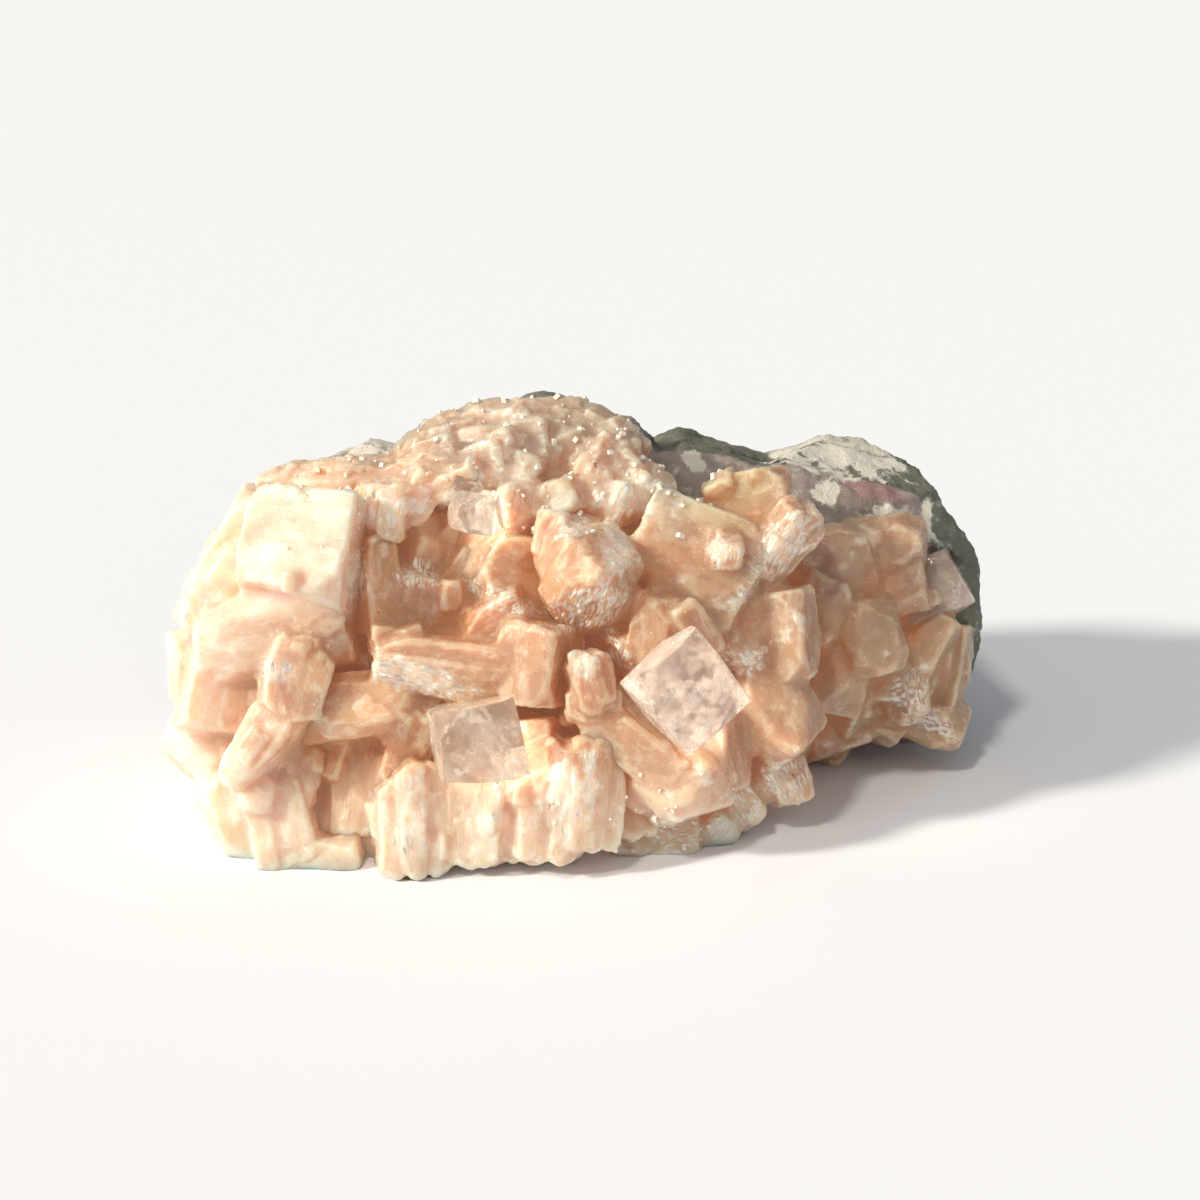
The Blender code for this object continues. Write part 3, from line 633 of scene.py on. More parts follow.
class Finish:
    """A new material, whose nodes are added by method calls."""

    def __init__(self, name):
        self.material = bpy.data.materials.new(name)
        self.material.use_nodes = True
        self.tree = self.material.node_tree
        self.shader = self.tree.nodes["Principled BSDF"]
        self.place = self.node("ShaderNodeTexCoord", output="Object")

    def node(self, kind, settings=None, sockets=None, output=0):
        """Adds a node: first its settings, then its sockets' values or links."""
        made = self.tree.nodes.new(kind)
        for name, value in (settings or {}).items():
            setattr(made, name, value)
        for name, value in (sockets or {}).items():
            feed(self.tree, made.inputs[name], value)
        return Socket(self.tree, made.outputs[output])

    def attribute(self, name, output="Fac"):
        """A value that the mesh stores at its points."""
        return self.node("ShaderNodeAttribute", {"attribute_name": name}, output=output)

    def noise(self, place, size, detail=3.0, stretch=(1, 1, 1), roughness=0.5):
        """Noise of that size in millimetres, on a place in metres, stretched along its axes."""
        scaled = self.scaled(place, size, stretch)
        sockets = {"Vector": scaled, "Scale": 1.0, "Detail": detail, "Roughness": roughness}
        return self.node("ShaderNodeTexNoise", sockets=sockets, output="Fac")

    def cells(self, place, size, stretch=(1, 1, 1), output="Distance"):
        """Cells of that size in millimetres, as the distance to a cell's middle or its random colour."""
        sockets = {"Vector": self.scaled(place, size, stretch), "Scale": 1.0}
        return self.node("ShaderNodeTexVoronoi", sockets=sockets, output=output)

    def scaled(self, place, size, stretch):
        """A place in metres, counted in steps of that size in millimetres."""
        factors = tuple(1 / (MM * size * part) for part in stretch)
        return self.node("ShaderNodeVectorMath", {"operation": "MULTIPLY"}, {0: place, 1: factors})

    def mixed(self, share, first, second):
        """Two colours mixed by a share."""
        node = self.tree.nodes.new("ShaderNodeMix")
        node.data_type = "RGBA"
        feed(self.tree, node.inputs["Factor"], share)
        for socket, colour in ((node.inputs[6], first), (node.inputs[7], second)):
            feed(self.tree, socket, colour if isinstance(colour, Socket) else (*colour, 1))
        return Socket(self.tree, node.outputs[2])

    def bump(self, height, distance, strength=1.0):
        """The normal of a surface raised by a height, of that distance in metres."""
        sockets = {"Height": height, "Distance": distance, "Strength": strength}
        return self.node("ShaderNodeBump", sockets=sockets)

    def red(self, colour):
        """A colour's red share, as one random value for each cell."""
        return self.node("ShaderNodeSeparateColor", sockets={"Color": colour}, output="Red")

    def flaked(self, normal, cells, amount):
        """The normal, turned a different way in each cell, so that some cells catch the light."""
        lean = self.node("ShaderNodeVectorMath", {"operation": "SUBTRACT"}, {0: cells, 1: (0.5, 0.5, 0.5)})
        lean = self.node("ShaderNodeVectorMath", {"operation": "SCALE"}, {0: lean, "Scale": amount})
        lean = self.node("ShaderNodeVectorMath", {"operation": "ADD"}, {0: lean, 1: normal})
        return self.node("ShaderNodeVectorMath", {"operation": "NORMALIZE"}, {0: lean})

    def overlaid(self, share, colour, rough, normal):
        """Lays an opaque surface over a share of the crystal."""
        cover = self.tree.nodes.new("ShaderNodeBsdfPrincipled")
        for socket, value in (("Base Color", (*colour, 1)), ("Roughness", rough), ("Normal", normal)):
            feed(self.tree, cover.inputs[socket], value)
        mix = self.tree.nodes.new("ShaderNodeMixShader")
        feed(self.tree, mix.inputs[0], share.clamped())
        self.tree.links.new(self.shader.outputs[0], mix.inputs[1])
        self.tree.links.new(cover.outputs[0], mix.inputs[2])
        self.tree.links.new(mix.outputs[0], self.tree.nodes["Material Output"].inputs["Surface"])

    def filled(self, colour, density):
        """Lets the body take up light on its way through."""
        sockets = {"Color": colour, "Density": density}
        volume = self.node("ShaderNodeVolumeAbsorption", sockets=sockets, output="Volume")
        self.tree.links.new(volume.output, self.tree.nodes["Material Output"].inputs["Volume"])

    def set(self, **values):
        """Sets or links the surface shader's sockets, named with underscores for spaces."""
        for name, value in values.items():
            feed(self.tree, self.shader.inputs[name.replace("_", " ")], value)


def sighted(across, up, y):
    """The point at depth y that the eye sees at (across, up)."""
    aim = Vector((0, FRONT_Y, 0)) + SIGHT_RIGHT * across + SIGHT_UP * up - EYE
    return EYE + aim * ((y - EYE.y) / aim.y)


def seen_at(points):
    """Where the eye sees these points, as two arrays, across and up."""
    aim = points - np.array(EYE)
    reach = aim @ np.array(SIGHT_AWAY)
    across = EYE_ACROSS + aim @ np.array(SIGHT_RIGHT) / reach * EYE_DISTANCE
    up = EYE_UP + aim @ np.array(SIGHT_UP) / reach * EYE_DISTANCE
    return across, up


def crystal_placing(crystal):
    """The matrix that carries a crystal from its own axes, with its length along Z, to its place."""
    spin = (
        Matrix.Rotation(math.radians(crystal.turn), 3, "Y")
        @ Matrix.Rotation(math.radians(crystal.lean), 3, "X")
        @ Matrix.Rotation(math.radians(crystal.roll), 3, "Z")
    )
    half = Vector((crystal.wide, crystal.thick, crystal.long)) / 2
    reach = sum(abs(spin[1][i]) * half[i] for i in range(3))
    middle = sighted(crystal.across, crystal.up, crystal.y) + SIGHT_AWAY * reach * 0.85
    return Matrix.Translation(middle) @ (SIGHT_AXES @ spin).to_4x4()


def end_crystal(entry):
    """A crystal of END_CRYSTALS, with the placing that makes it point outwards and a little up or down."""
    x, y, z, bearing, long, wide, thick, form = entry
    crystal = Crystal(0, 0, 0, long, wide, thick, form=form)
    heading = math.radians(bearing)
    aim = Vector((math.cos(heading), math.sin(heading), (z - 20) / 40)).normalized()
    placing = Matrix.Translation((x, y, z)) @ aim.to_track_quat("Z", "Y").to_matrix().to_4x4()
    return crystal, placing


def leaned(normal, draw, most):
    """The normal, leaned a random way by up to that many degrees."""
    slope = math.tan(math.radians(most))
    return (normal + Vector([draw.uniform(-slope, slope) for _ in range(3)])).normalized()


def box_planes(half, draw, most=5):
    """The six faces of a box, each leaned a little, as a point on the face and its outward normal."""
    planes = []
    for axis in range(3):
        for sign in (-1, 1):
            normal = Vector([sign if i == axis else 0 for i in range(3)])
            planes.append((normal * half[axis], leaned(normal, draw, most)))
    return planes


def corner_planes(half, draw, count, depth):
    """Faces that cut off some of the box's corners."""
    corners = [Vector((a, b, c)) for a in (-1, 1) for b in (-1, 1) for c in (-1, 1)]
    draw.shuffle(corners)
    planes = []
    for corner in corners[:count]:
        normal = Vector([corner[i] / half[i] for i in range(3)])
        point = Vector([corner[i] * half[i] for i in range(3)]) * draw.uniform(depth, depth + 0.1)
        planes.append((point, leaned(normal.normalized(), draw, 8)))
    return planes


def edge_planes(half, draw, depth):
    """Faces along the four long edges, as on a bar with rounded sides."""
    planes = []
    for a in (-1, 1):
        for b in (-1, 1):
            normal = Vector((a / half[0], b / half[1], 0)).normalized()
            point = Vector((a * half[0], b * half[1], 0)) * depth
            planes.append((point, leaned(normal, draw, 5)))
    return planes


def gable_planes(half, draw, slope):
    """Two faces that meet in a ridge at each end of a lath."""
    planes = []
    for sign in (-1, 1):
        for side in (-1, 1):
            normal = Vector((side * math.sin(slope), 0, sign * math.cos(slope)))
            point = Vector((draw.uniform(-0.3, 0.3) * half[0], 0, sign * half[2]))
            planes.append((point, leaned(normal, draw, 6)))
    return planes


def laths(crystal, draw, count, fan, step):
    """Laths side by side that make up a column or a sheaf. A fan spreads their ends, and a step makes them
    uneven."""
    bodies = []
    for i in range(count):
        share = (i + 0.5) / count - 0.5
        half = Vector((
            crystal.wide / count * 0.72,
            crystal.thick / 2 * draw.uniform(0.84, 1),
            crystal.long / 2 * draw.uniform(1 - step, 1),
        ))
        sideways = share * crystal.wide * (0.55 if fan else 1)
        middle = (sideways, draw.uniform(-0.05, 0.05) * crystal.thick, half.z - crystal.long / 2)
        place = Matrix.Translation(middle) @ Matrix.Rotation(math.radians(2 * fan * share), 4, "Y")
        planes = box_planes(half, draw, 3) + gable_planes(half, draw, math.radians(28))
        bodies.append((half, planes, place))
    return bodies


def crystal_bodies(crystal, seed):
    """The convex bodies that a crystal is made of, in its own axes: half sizes, faces and place."""
    draw = random.Random(seed)
    half = Vector((crystal.wide, crystal.thick, crystal.long)) / 2
    count = 3 if crystal.wide > 6 else 2
    if crystal.form == "column":
        return laths(crystal, draw, count, 0, 0.16)
    if crystal.form == "sheaf":
        return laths(crystal, draw, count, 9, 0.12)
    planes = box_planes(half, draw)
    if crystal.form == "block":
        planes += corner_planes(half, draw, 3, 0.72)
    elif crystal.form == "slab":
        planes += corner_planes(half, draw, 4, 0.8)
    elif crystal.form == "clear":
        planes += corner_planes(half, draw, 3, 0.78) + corner_planes(half, draw, 5, 0.7)
    elif crystal.form == "lump":
        planes += corner_planes(half, draw, 8, 0.62) + edge_planes(half, draw, 0.8)
    elif crystal.form == "rod":
        planes += edge_planes(half, draw, 0.78) + gable_planes(half, draw, math.radians(24))
    return [(half, planes, Matrix.Identity(4))]


def chunk_planes(chunk, seed):
    """Broken faces all round an ellipsoid, spread evenly and each leaned a little."""
    draw = random.Random(seed)
    half = Vector((chunk.half_x, chunk.half_y, chunk.half_z))
    turn = math.pi * (3 - math.sqrt(5))
    planes = []
    for i in range(BED_FACES):
        height = 1 - 2 * (i + 0.5) / BED_FACES
        ring = math.sqrt(1 - height * height)
        normal = leaned(Vector((ring * math.cos(turn * i), ring * math.sin(turn * i), height)), draw, 10)
        touch = Vector([half[k] * half[k] * normal[k] for k in range(3)])
        touch /= math.sqrt(sum((half[k] * normal[k]) ** 2 for k in range(3)))
        planes.append((touch * draw.uniform(0.88, 1), normal))
    return planes


def moved_planes(planes, placing):
    """Faces carried from a crystal's own axes to its place."""
    turn = placing.to_3x3()
    return [(placing @ point, (turn @ normal).normalized()) for point, normal in planes]


def plates(half, planes, placing, form, seed, look):
    """A convex body split into plates across its width, each slipped and twisted a little."""
    draw = random.Random("plates " + seed)
    habit = HABITS[form]
    count = max(1, round(2 * half.x / habit.plate_width))
    edges = [-1.2] + [2 * (i + draw.uniform(-0.25, 0.25)) / count - 1 for i in range(1, count)] + [1.2]
    made = []
    for low, high in zip(edges, edges[1:]):
        slip = habit.slip if count > 1 else 0
        twist = PLATE_TWIST if count > 1 else 0
        nudge = (
            Matrix.Translation((0, draw.uniform(-0.6, 0.6) * slip, draw.uniform(-1, 1) * slip))
            @ Matrix.Rotation(math.radians(draw.uniform(-twist, twist)), 4, "Y")
            @ Matrix.Rotation(math.radians(draw.uniform(-twist, twist)), 4, "Z")
        )
        sides = []
        if low > -1:
            sides.append((Vector((low * half.x - PLATE_LAP, 0, 0)), Vector((-1, 0, 0))))
        if high < 1:
            sides.append((Vector((high * half.x + PLATE_LAP, 0, 0)), Vector((1, 0, 0))))
        chipped = corner_planes(half, draw, habit.chips, PLATE_CHIP_DEPTH)
        faces = moved_planes(planes + chipped, placing @ nudge) + moved_planes(sides, placing)
        made.append(Plate(faces, placing, half * OVERSIZE, look, faces))
    return made


def group_plates(group):
    """All the plates of a stretch of stilbite. Each has a look: its crystal's number, form and tone."""
    made = []
    for number, crystal in enumerate(group.crystals):
        seed = f"{group.label} {number}"
        look = (number, crystal.form, random.Random("tone " + seed).random())
        for part, (half, planes, local) in enumerate(crystal_bodies(crystal, seed)):
            placing = crystal_placing(crystal) @ local
            made += plates(half, planes, placing, crystal.form, f"{seed} {part}", look)
    for number in group.ends:
        crystal, placing = end_crystal(END_CRYSTALS[number])
        seed = f"end {number}"
        look = (FIRST_END + number, crystal.form, random.Random("tone " + seed).random())
        for part, (half, planes, local) in enumerate(crystal_bodies(crystal, seed)):
            made += plates(half, planes, placing @ local, crystal.form, f"{seed} {part}", look)
    for number in group.beds:
        chunk = STILBITE_BED[number]
        half = Vector((chunk.half_x, chunk.half_y, chunk.half_z))
        faces = chunk_planes(chunk, f"bed {number}")
        look = (FIRST_BED + number, "bed", 0.5)
        made += plates(half, faces, Matrix.Translation(chunk[:3]), "bed", f"bed {number}", look)
    return made


def surface_spot(plate, aim):
    """Where a line from the plate's middle along aim leaves it, and the normal of the face there."""
    middle = plate.placing.translation
    reaches = [(plate.half.length, aim)] + [
        ((point - middle).dot(normal) / aim.dot(normal), normal)
        for point, normal in plate.faces
        if aim.dot(normal) > 0.01
    ]
    reach, normal = min(reaches, key=lambda found: found[0])
    return middle + aim * reach, normal


def buried(spot, all_plates, depth=0.3):
    """Whether a spot lies in one of these plates, deeper than that."""
    return any(
        all((spot - point).dot(normal) < -depth for point, normal in plate.faces)
        for plate in all_plates
        if (spot - plate.placing.translation).length < plate.half.length + 1
    )


def sprouts(group, hosts, all_plates):
    """Small crystals that stand on the large ones of a group, nearly parallel to them."""
    draw = random.Random("sprouts " + group.label)
    made = []
    tries = 0
    while len(made) < group.sprouts and tries < group.sprouts * SPROUT_TRIES:
        tries += 1
        host = hosts[draw.randrange(len(hosts))]
        aim = Vector([draw.gauss(0, 1) for _ in range(3)]).normalized()
        spot, normal = surface_spot(host, aim)
        if normal.y > 0.5 or normal.z < -0.3 or spot.z < SPROUT_LOWEST:
            continue
        if spot.y > rind_front(spot.x, spot.z) - 1:
            continue
        if spot.x < CAD_BOX[0].x / MM + SPROUT_SIDE_ROOM or spot.z > CAD_BOX[1].z / MM - SPROUT_TOP_ROOM:
            continue
        if group.sprout_foot and spot.z < group.sprout_foot and draw.random() < 0.8:
            continue
        if buried(spot, all_plates):
            continue
        size = draw.uniform(0.7, 1.1) + 1.7 * draw.random() ** 3
        half = Vector([size * draw.uniform(*bounds) for bounds in SPROUT_SHARES])
        angle = math.radians(draw.gauss(0, 14))
        spin = Matrix.Rotation(angle, 4, Vector([draw.gauss(0, 1) for _ in range(3)]))
        placing = Matrix.Translation(spot - normal * size * 0.25) @ host.placing.to_3x3().to_4x4() @ spin
        cuts = moved_planes(corner_planes(half, draw, 3, 0.66), placing)
        faces = moved_planes(box_planes(half, draw, 0), placing) + cuts
        look = (host.look[0], "sprout", draw.random())
        made.append(Plate(faces, placing, half, look, cuts))
    return made


def eased(value, start, end):
    """0 before start, 1 after end, and a smooth ramp between them. It also takes arrays."""
    share = np.clip((value - start) / (end - start), 0, 1)
    return share * share * (3 - 2 * share)


def rind_front(x, z):
    """Where the stilbite ends and the rind begins, as depth y over the width and the height."""
    lobe = eased(x, 26, 40) * eased(z, 44, 34)
    return RIND_FRONT_Y + LOBE_SETBACK * lobe + 1.8 * np.sin(x / 13 + 1) + 1.4 * np.sin(z / 8 + x / 31)


def deselected():
    """Goes to object mode with nothing selected."""
    if bpy.context.mode != "OBJECT":
        bpy.ops.object.mode_set(mode="OBJECT")
    bpy.ops.object.select_all(action="DESELECT")


def only(target):
    """Makes this object the selected and active one."""
    deselected()
    target.select_set(True)
    bpy.context.view_layer.objects.active = target


def applied(target, kind, **settings):
    """Adds a modifier and applies it."""
    only(target)
    step = target.modifiers.new(kind.title(), kind)
    for name, value in settings.items():
        setattr(step, name, value)
    bpy.ops.object.modifier_apply(modifier=step.name)
    return target


def started(name):
    """A new, empty mesh object at the origin, in edit mode."""
    deselected()
    bpy.ops.mesh.primitive_cube_add(size=MM)
    target = bpy.context.object
    target.name = name
    target.data.name = name
    bpy.ops.object.mode_set(mode="EDIT")
    bpy.ops.mesh.select_all(action="SELECT")
    bpy.ops.mesh.delete(type="VERT")
    return target


def add_cut_block(faces, placing, half, grow=0):
    """Adds a block to the mesh in edit mode and bisects it by each face that crosses it. The block is then
    hidden, so that the next one can be selected by itself."""
    size = [2 * MM * (length + grow) for length in half]
    bpy.ops.mesh.primitive_cube_add(
        size=1, location=placing.translation * MM, rotation=placing.to_euler(), scale=size
    )
    for point, normal in faces:
        bpy.ops.mesh.select_all(action="SELECT")
        bpy.ops.mesh.bisect(
            plane_co=(point + normal * grow) * MM, plane_no=normal, use_fill=True, clear_outer=True
        )
    bpy.ops.mesh.hide(unselected=False)
    bpy.ops.mesh.select_all(action="SELECT")
    bpy.ops.mesh.hide(unselected=False)


def finished_edit(target):
    """Leaves edit mode with everything shown, and normals that point outwards."""
    bpy.ops.mesh.reveal(select=True)
    bpy.ops.mesh.select_all(action="SELECT")
    bpy.ops.mesh.normals_make_consistent(inside=False)
    bpy.ops.object.mode_set(mode="OBJECT")
    return target


def modelled_blocks(name, blocks, grow=0):
    """A mesh object of cut blocks, each given as its faces, placing and half sizes."""
    target = started(name)
    for faces, placing, half in blocks:
        add_cut_block(faces, placing, half, grow)
    return finished_edit(target)


def flat_below(target):
    """Cuts off what is below the ground, and leaves the flat face that the cluster rests on."""
    only(target)
    bpy.ops.object.mode_set(mode="EDIT")
    bpy.ops.mesh.select_all(action="SELECT")
    bpy.ops.mesh.bisect(plane_co=(0, 0, 0), plane_no=(0, 0, -1), use_fill=True, clear_outer=True)
    bpy.ops.object.mode_set(mode="OBJECT")


def points_of(target):
    """The mesh's points, in millimetres."""
    points = np.empty(len(target.data.vertices) * 3, np.float32)
    target.data.vertices.foreach_get("co", points)
    return points.reshape(-1, 3).astype(float) / MM


def move_points(target, points):
    """Puts the mesh's points at these places, in millimetres."""
    target.data.vertices.foreach_set("co", (points * MM).astype(np.float32).ravel())
    target.data.update()


def normals_of(target):
    """The mesh's normals at its points."""
    normals = np.empty(len(target.data.vertices) * 3, np.float32)
    target.data.vertices.foreach_get("normal", normals)
    return normals.reshape(-1, 3).astype(float)


def neighbour_mean(target, values):
    """Each point's mean of these values over the points that share an edge with it."""
    ends = np.empty(len(target.data.edges) * 2, np.int32)
    target.data.edges.foreach_get("vertices", ends)
    ends = ends.reshape(-1, 2)
    count = len(target.data.vertices)
    flat = values.reshape(count, -1)
    total = np.zeros_like(flat)
    links = np.zeros(count)
    for here, there in ((0, 1), (1, 0)):
        links += np.bincount(ends[:, here], minlength=count)
        for column in range(flat.shape[1]):
            total[:, column] += np.bincount(ends[:, here], flat[ends[:, there], column], minlength=count)
    return (total / np.maximum(links, 1)[:, None]).reshape(values.shape)


def plate_arrays(plate):
    """A plate's face points and outward normals, as arrays."""
    return np.array([face[0] for face in plate.faces]), np.array([face[1] for face in plate.faces])


def owners(points, all_plates):
    """For each point, the plate whose surface is nearest, how far outside it the point is, and that face's
    normal."""
    owner = np.zeros(len(points), int)
    nearest = np.full(len(points), 1e9)
    outside = np.zeros(len(points))
    facing = np.zeros((len(points), 3))
    for number, plate in enumerate(all_plates):
        reach = plate.half.length * 1.2 + 1
        near = np.flatnonzero(((points - np.array(plate.placing.translation)) ** 2).sum(1) < reach * reach)
        if not len(near):
            continue
        place, normal = plate_arrays(plate)
        heights = points[near] @ normal.T - (place * normal).sum(1)
        highest = heights.argmax(1)
        height = heights[np.arange(len(near)), highest]
        better = np.abs(height) < nearest[near]
        chosen = near[better]
        nearest[chosen] = np.abs(height[better])
        owner[chosen] = number
        outside[chosen] = height[better]
        facing[chosen] = normal[highest[better]]
    return owner, outside, facing


def hashed(*numbers):
    """A random value from 0 to 1 for each combination of whole numbers."""
    total = np.zeros(np.broadcast(*numbers).shape)
    for number, weight in zip(numbers, (12.9898, 78.233, 37.719, 93.111)):
        total = total + number * weight
    return np.modf(np.abs(np.sin(total) * 43758.5453))[0]


class Crowding:
    """How much crystal there is around a point, from a grid of the whole cluster that is blurred."""

    STEP = 1.0
    MARGIN = 14

    def __init__(self, all_plates, blur):
        low = np.array(CAD_BOX[0]) / MM - self.MARGIN
        high = np.array(CAD_BOX[1]) / MM + self.MARGIN
        self.low = low
        self.shape = np.ceil((high - low) / self.STEP).astype(int)
        filled = np.zeros(self.shape)
        for plate in all_plates:
            self.fill(filled, plate)
        width = max(1, round(blur / self.STEP))
        for axis in range(3):
            for _ in range(2):
                filled = self.blurred(filled, axis, width)
        self.filled = filled

    def fill(self, filled, plate):
        """Marks the grid's cells that lie in the plate."""
        middle = np.array(plate.placing.translation)
        reach = plate.half.length + 1
        start = np.maximum(np.floor((middle - reach - self.low) / self.STEP).astype(int), 0)
        end = np.minimum(np.ceil((middle + reach - self.low) / self.STEP).astype(int), self.shape)
        axes = [self.low[i] + (np.arange(start[i], end[i]) + 0.5) * self.STEP for i in range(3)]
        grid = np.stack(np.meshgrid(*axes, indexing="ij"), -1)
        inside = grid[..., 2] > 0
        for point, normal in plate.faces:
            inside &= (grid - np.array(point)) @ np.array(normal) < 0
        filled[start[0]:end[0], start[1]:end[1], start[2]:end[2]][inside] = 1

    def blurred(self, values, axis, width):
        """The mean over that many cells each way along an axis."""
        padding = [(0, 0)] * 3
        padding[axis] = (width + 1, width)
        total = np.cumsum(np.pad(values, padding), axis=axis)
        size = values.shape[axis]
        later = np.take(total, np.arange(2 * width + 1, 2 * width + 1 + size), axis=axis)
        earlier = np.take(total, np.arange(size), axis=axis)
        return (later - earlier) / (2 * width + 1)

    def at(self, points):
        """The blurred value at these points, read between the cells."""
        place = (points - self.low) / self.STEP - 0.5
        base = np.clip(np.floor(place).astype(int), 0, self.shape - 2)
        part = np.clip(place - base, 0, 1)
        result = np.zeros(len(points))
        for corner in np.ndindex(2, 2, 2):
            weight = np.prod(np.where(np.array(corner), part, 1 - part), axis=1)
            cell = base + np.array(corner)
            result += weight * self.filled[cell[:, 0], cell[:, 1], cell[:, 2]]
        return result


def growth_steps(local, facing, owner):
    """How far the growth steps raise or sink each point: ribs along a crystal's sides, and uneven ends."""
    x, y, z = local.T
    side_x, side_y, end = np.abs(facing.T)
    wobble = 0.25 * np.sin(z / 2.1 + owner)
    fine, coarse = np.floor((x + wobble) / 0.8), np.floor((x + wobble) / 2.1)
    ribs_on_y = hashed(fine, owner) + 0.6 * hashed(coarse, owner + 5)
    ribs_on_x = hashed(np.floor((y + wobble) / 1.0), owner + 9) + 0.6 * hashed(np.floor(z / 3.1), owner + 7)
    tips = 2.2 * hashed(np.floor(x / 0.9), np.floor(y / 1.1), owner)
    patchy = np.sin(x / 2.2 + owner) * np.sin(y / 2.6 + 2 * owner) + np.sin(z / 3.4 + 3 * owner) * 0.7
    return (ribs_on_y * side_y + ribs_on_x * side_x + tips * end - 0.8) * (0.35 + eased(patchy, -0.2, 0.6))


def chips(local, owner):
    """How far each point is raised or sunk by the small tilted facets that the surface is broken into."""
    cell = np.floor(local / CHIP_SIZE)
    nearest = np.full(len(local), np.inf)
    height = np.zeros(len(local))
    for offset in itertools.product((-1, 0, 1), repeat=3):
        at = cell + offset
        draws = [hashed(*at.T, owner + 11 * number) for number in range(7)]
        away = local - (at + np.stack(draws[:3], 1)) * CHIP_SIZE
        distance = (away ** 2).sum(1)
        closer = distance < nearest
        tilted = draws[6] - 0.5 + (away * (np.stack(draws[3:6], 1) - 0.5)).sum(1) * CHIP_TILT
        nearest[closer] = distance[closer]
        height[closer] = tilted[closer]
    return height


def set_values(target, name, values):
    """Stores a value, or a vector, at each point of the mesh for the material to read."""
    kind, field = ("FLOAT_VECTOR", "vector") if values.ndim == 2 else ("FLOAT", "value")
    attribute = target.data.attributes.new(name, kind, "POINT")
    attribute.data.foreach_set(field, values.astype(np.float32).ravel())


def hollowness(target, points):
    """How strongly each point lies in a crease, from 0 on flat faces and edges to 1 in a sharp crease."""
    rise = ((neighbour_mean(target, points) - points) * normals_of(target)).sum(1)
    for _ in range(2):
        rise = neighbour_mean(target, rise)
    return eased(rise, 0.004, 0.03)


def softened(target, points, weight):
    """Moves points towards their neighbours, each by its weight, over some rounds."""
    for _ in range(SMOOTHING_ROUNDS):
        points = points + (neighbour_mean(target, points) - points) * weight[:, None]
    return points


def grown_together(target, settings):
    """Fuses a group's plates into one skin, and closes the narrow gaps between them."""
    applied(target, "REMESH", mode="VOXEL", voxel_size=settings.cell * FIRST_CELLS, adaptivity=0)
    for reach in (settings.closing, -settings.closing):
        applied(target, "DISPLACE", strength=reach, mid_level=0)
        applied(target, "REMESH", mode="VOXEL", voxel_size=settings.cell * FIRST_CELLS, adaptivity=0)
    applied(target, "REMESH", mode="VOXEL", voxel_size=settings.cell, adaptivity=0)


def dressed_stilbite(target, group_parts, crowding):
    """Sharpens the fused crystals, fills their creases, raises their growth steps and broken facets, and
    stores what their material reads."""
    settings = bpy.context.scene.cluster_stilbite
    points = points_of(target)
    owner, outside, facing = owners(points, group_parts)
    habits = [HABITS[plate.look[1]] for plate in group_parts]
    near = (outside > DEEPEST_DRAWN) & (outside < HIGHEST_DRAWN)
    points[near] -= facing[near] * outside[near, None]
    rounding = np.array([habit.rounding for habit in habits])[owner] * 0.55
    crease = hollowness(target, points)
    points = softened(target, points, np.maximum(rounding, crease * 0.3))
    move_points(target, points)
    for name, size, strength in (("sway", 0.008, 0.0006), ("dents", 0.0024, 0.00012)):
        displaced(target, name, size, strength)
    points = points_of(target)
    turns = np.array([np.array(plate.placing.to_3x3()) for plate in group_parts])
    middles = np.array([np.array(plate.placing.translation) for plate in group_parts])
    local = np.einsum("nji,nj->ni", turns[owner], points - middles[owner])
    facing_local = np.einsum("nji,nj->ni", turns[owner], facing)
    step = growth_steps(local, facing_local, owner)
    depth = settings.relief / MM * np.array([habit.stepping for habit in habits])[owner]
    across, up = seen_at(points)
    frosted = np.clip(np.max(spot_values(across, up), axis=0) + eased(up, 54, 60), 0, 1)
    plain_depth, frosted_depth = CHIP_DEPTHS
    broken = chips(local, owner) * (plain_depth + (frosted_depth - plain_depth) * frosted)
    lift = (step * depth + broken) * near * (1 - crease)
    lift = (lift + neighbour_mean(target, lift)) / 2
    move_points(target, points + facing * lift[:, None])
    store_stilbite_values(target, group_parts, owner, local, crowding)


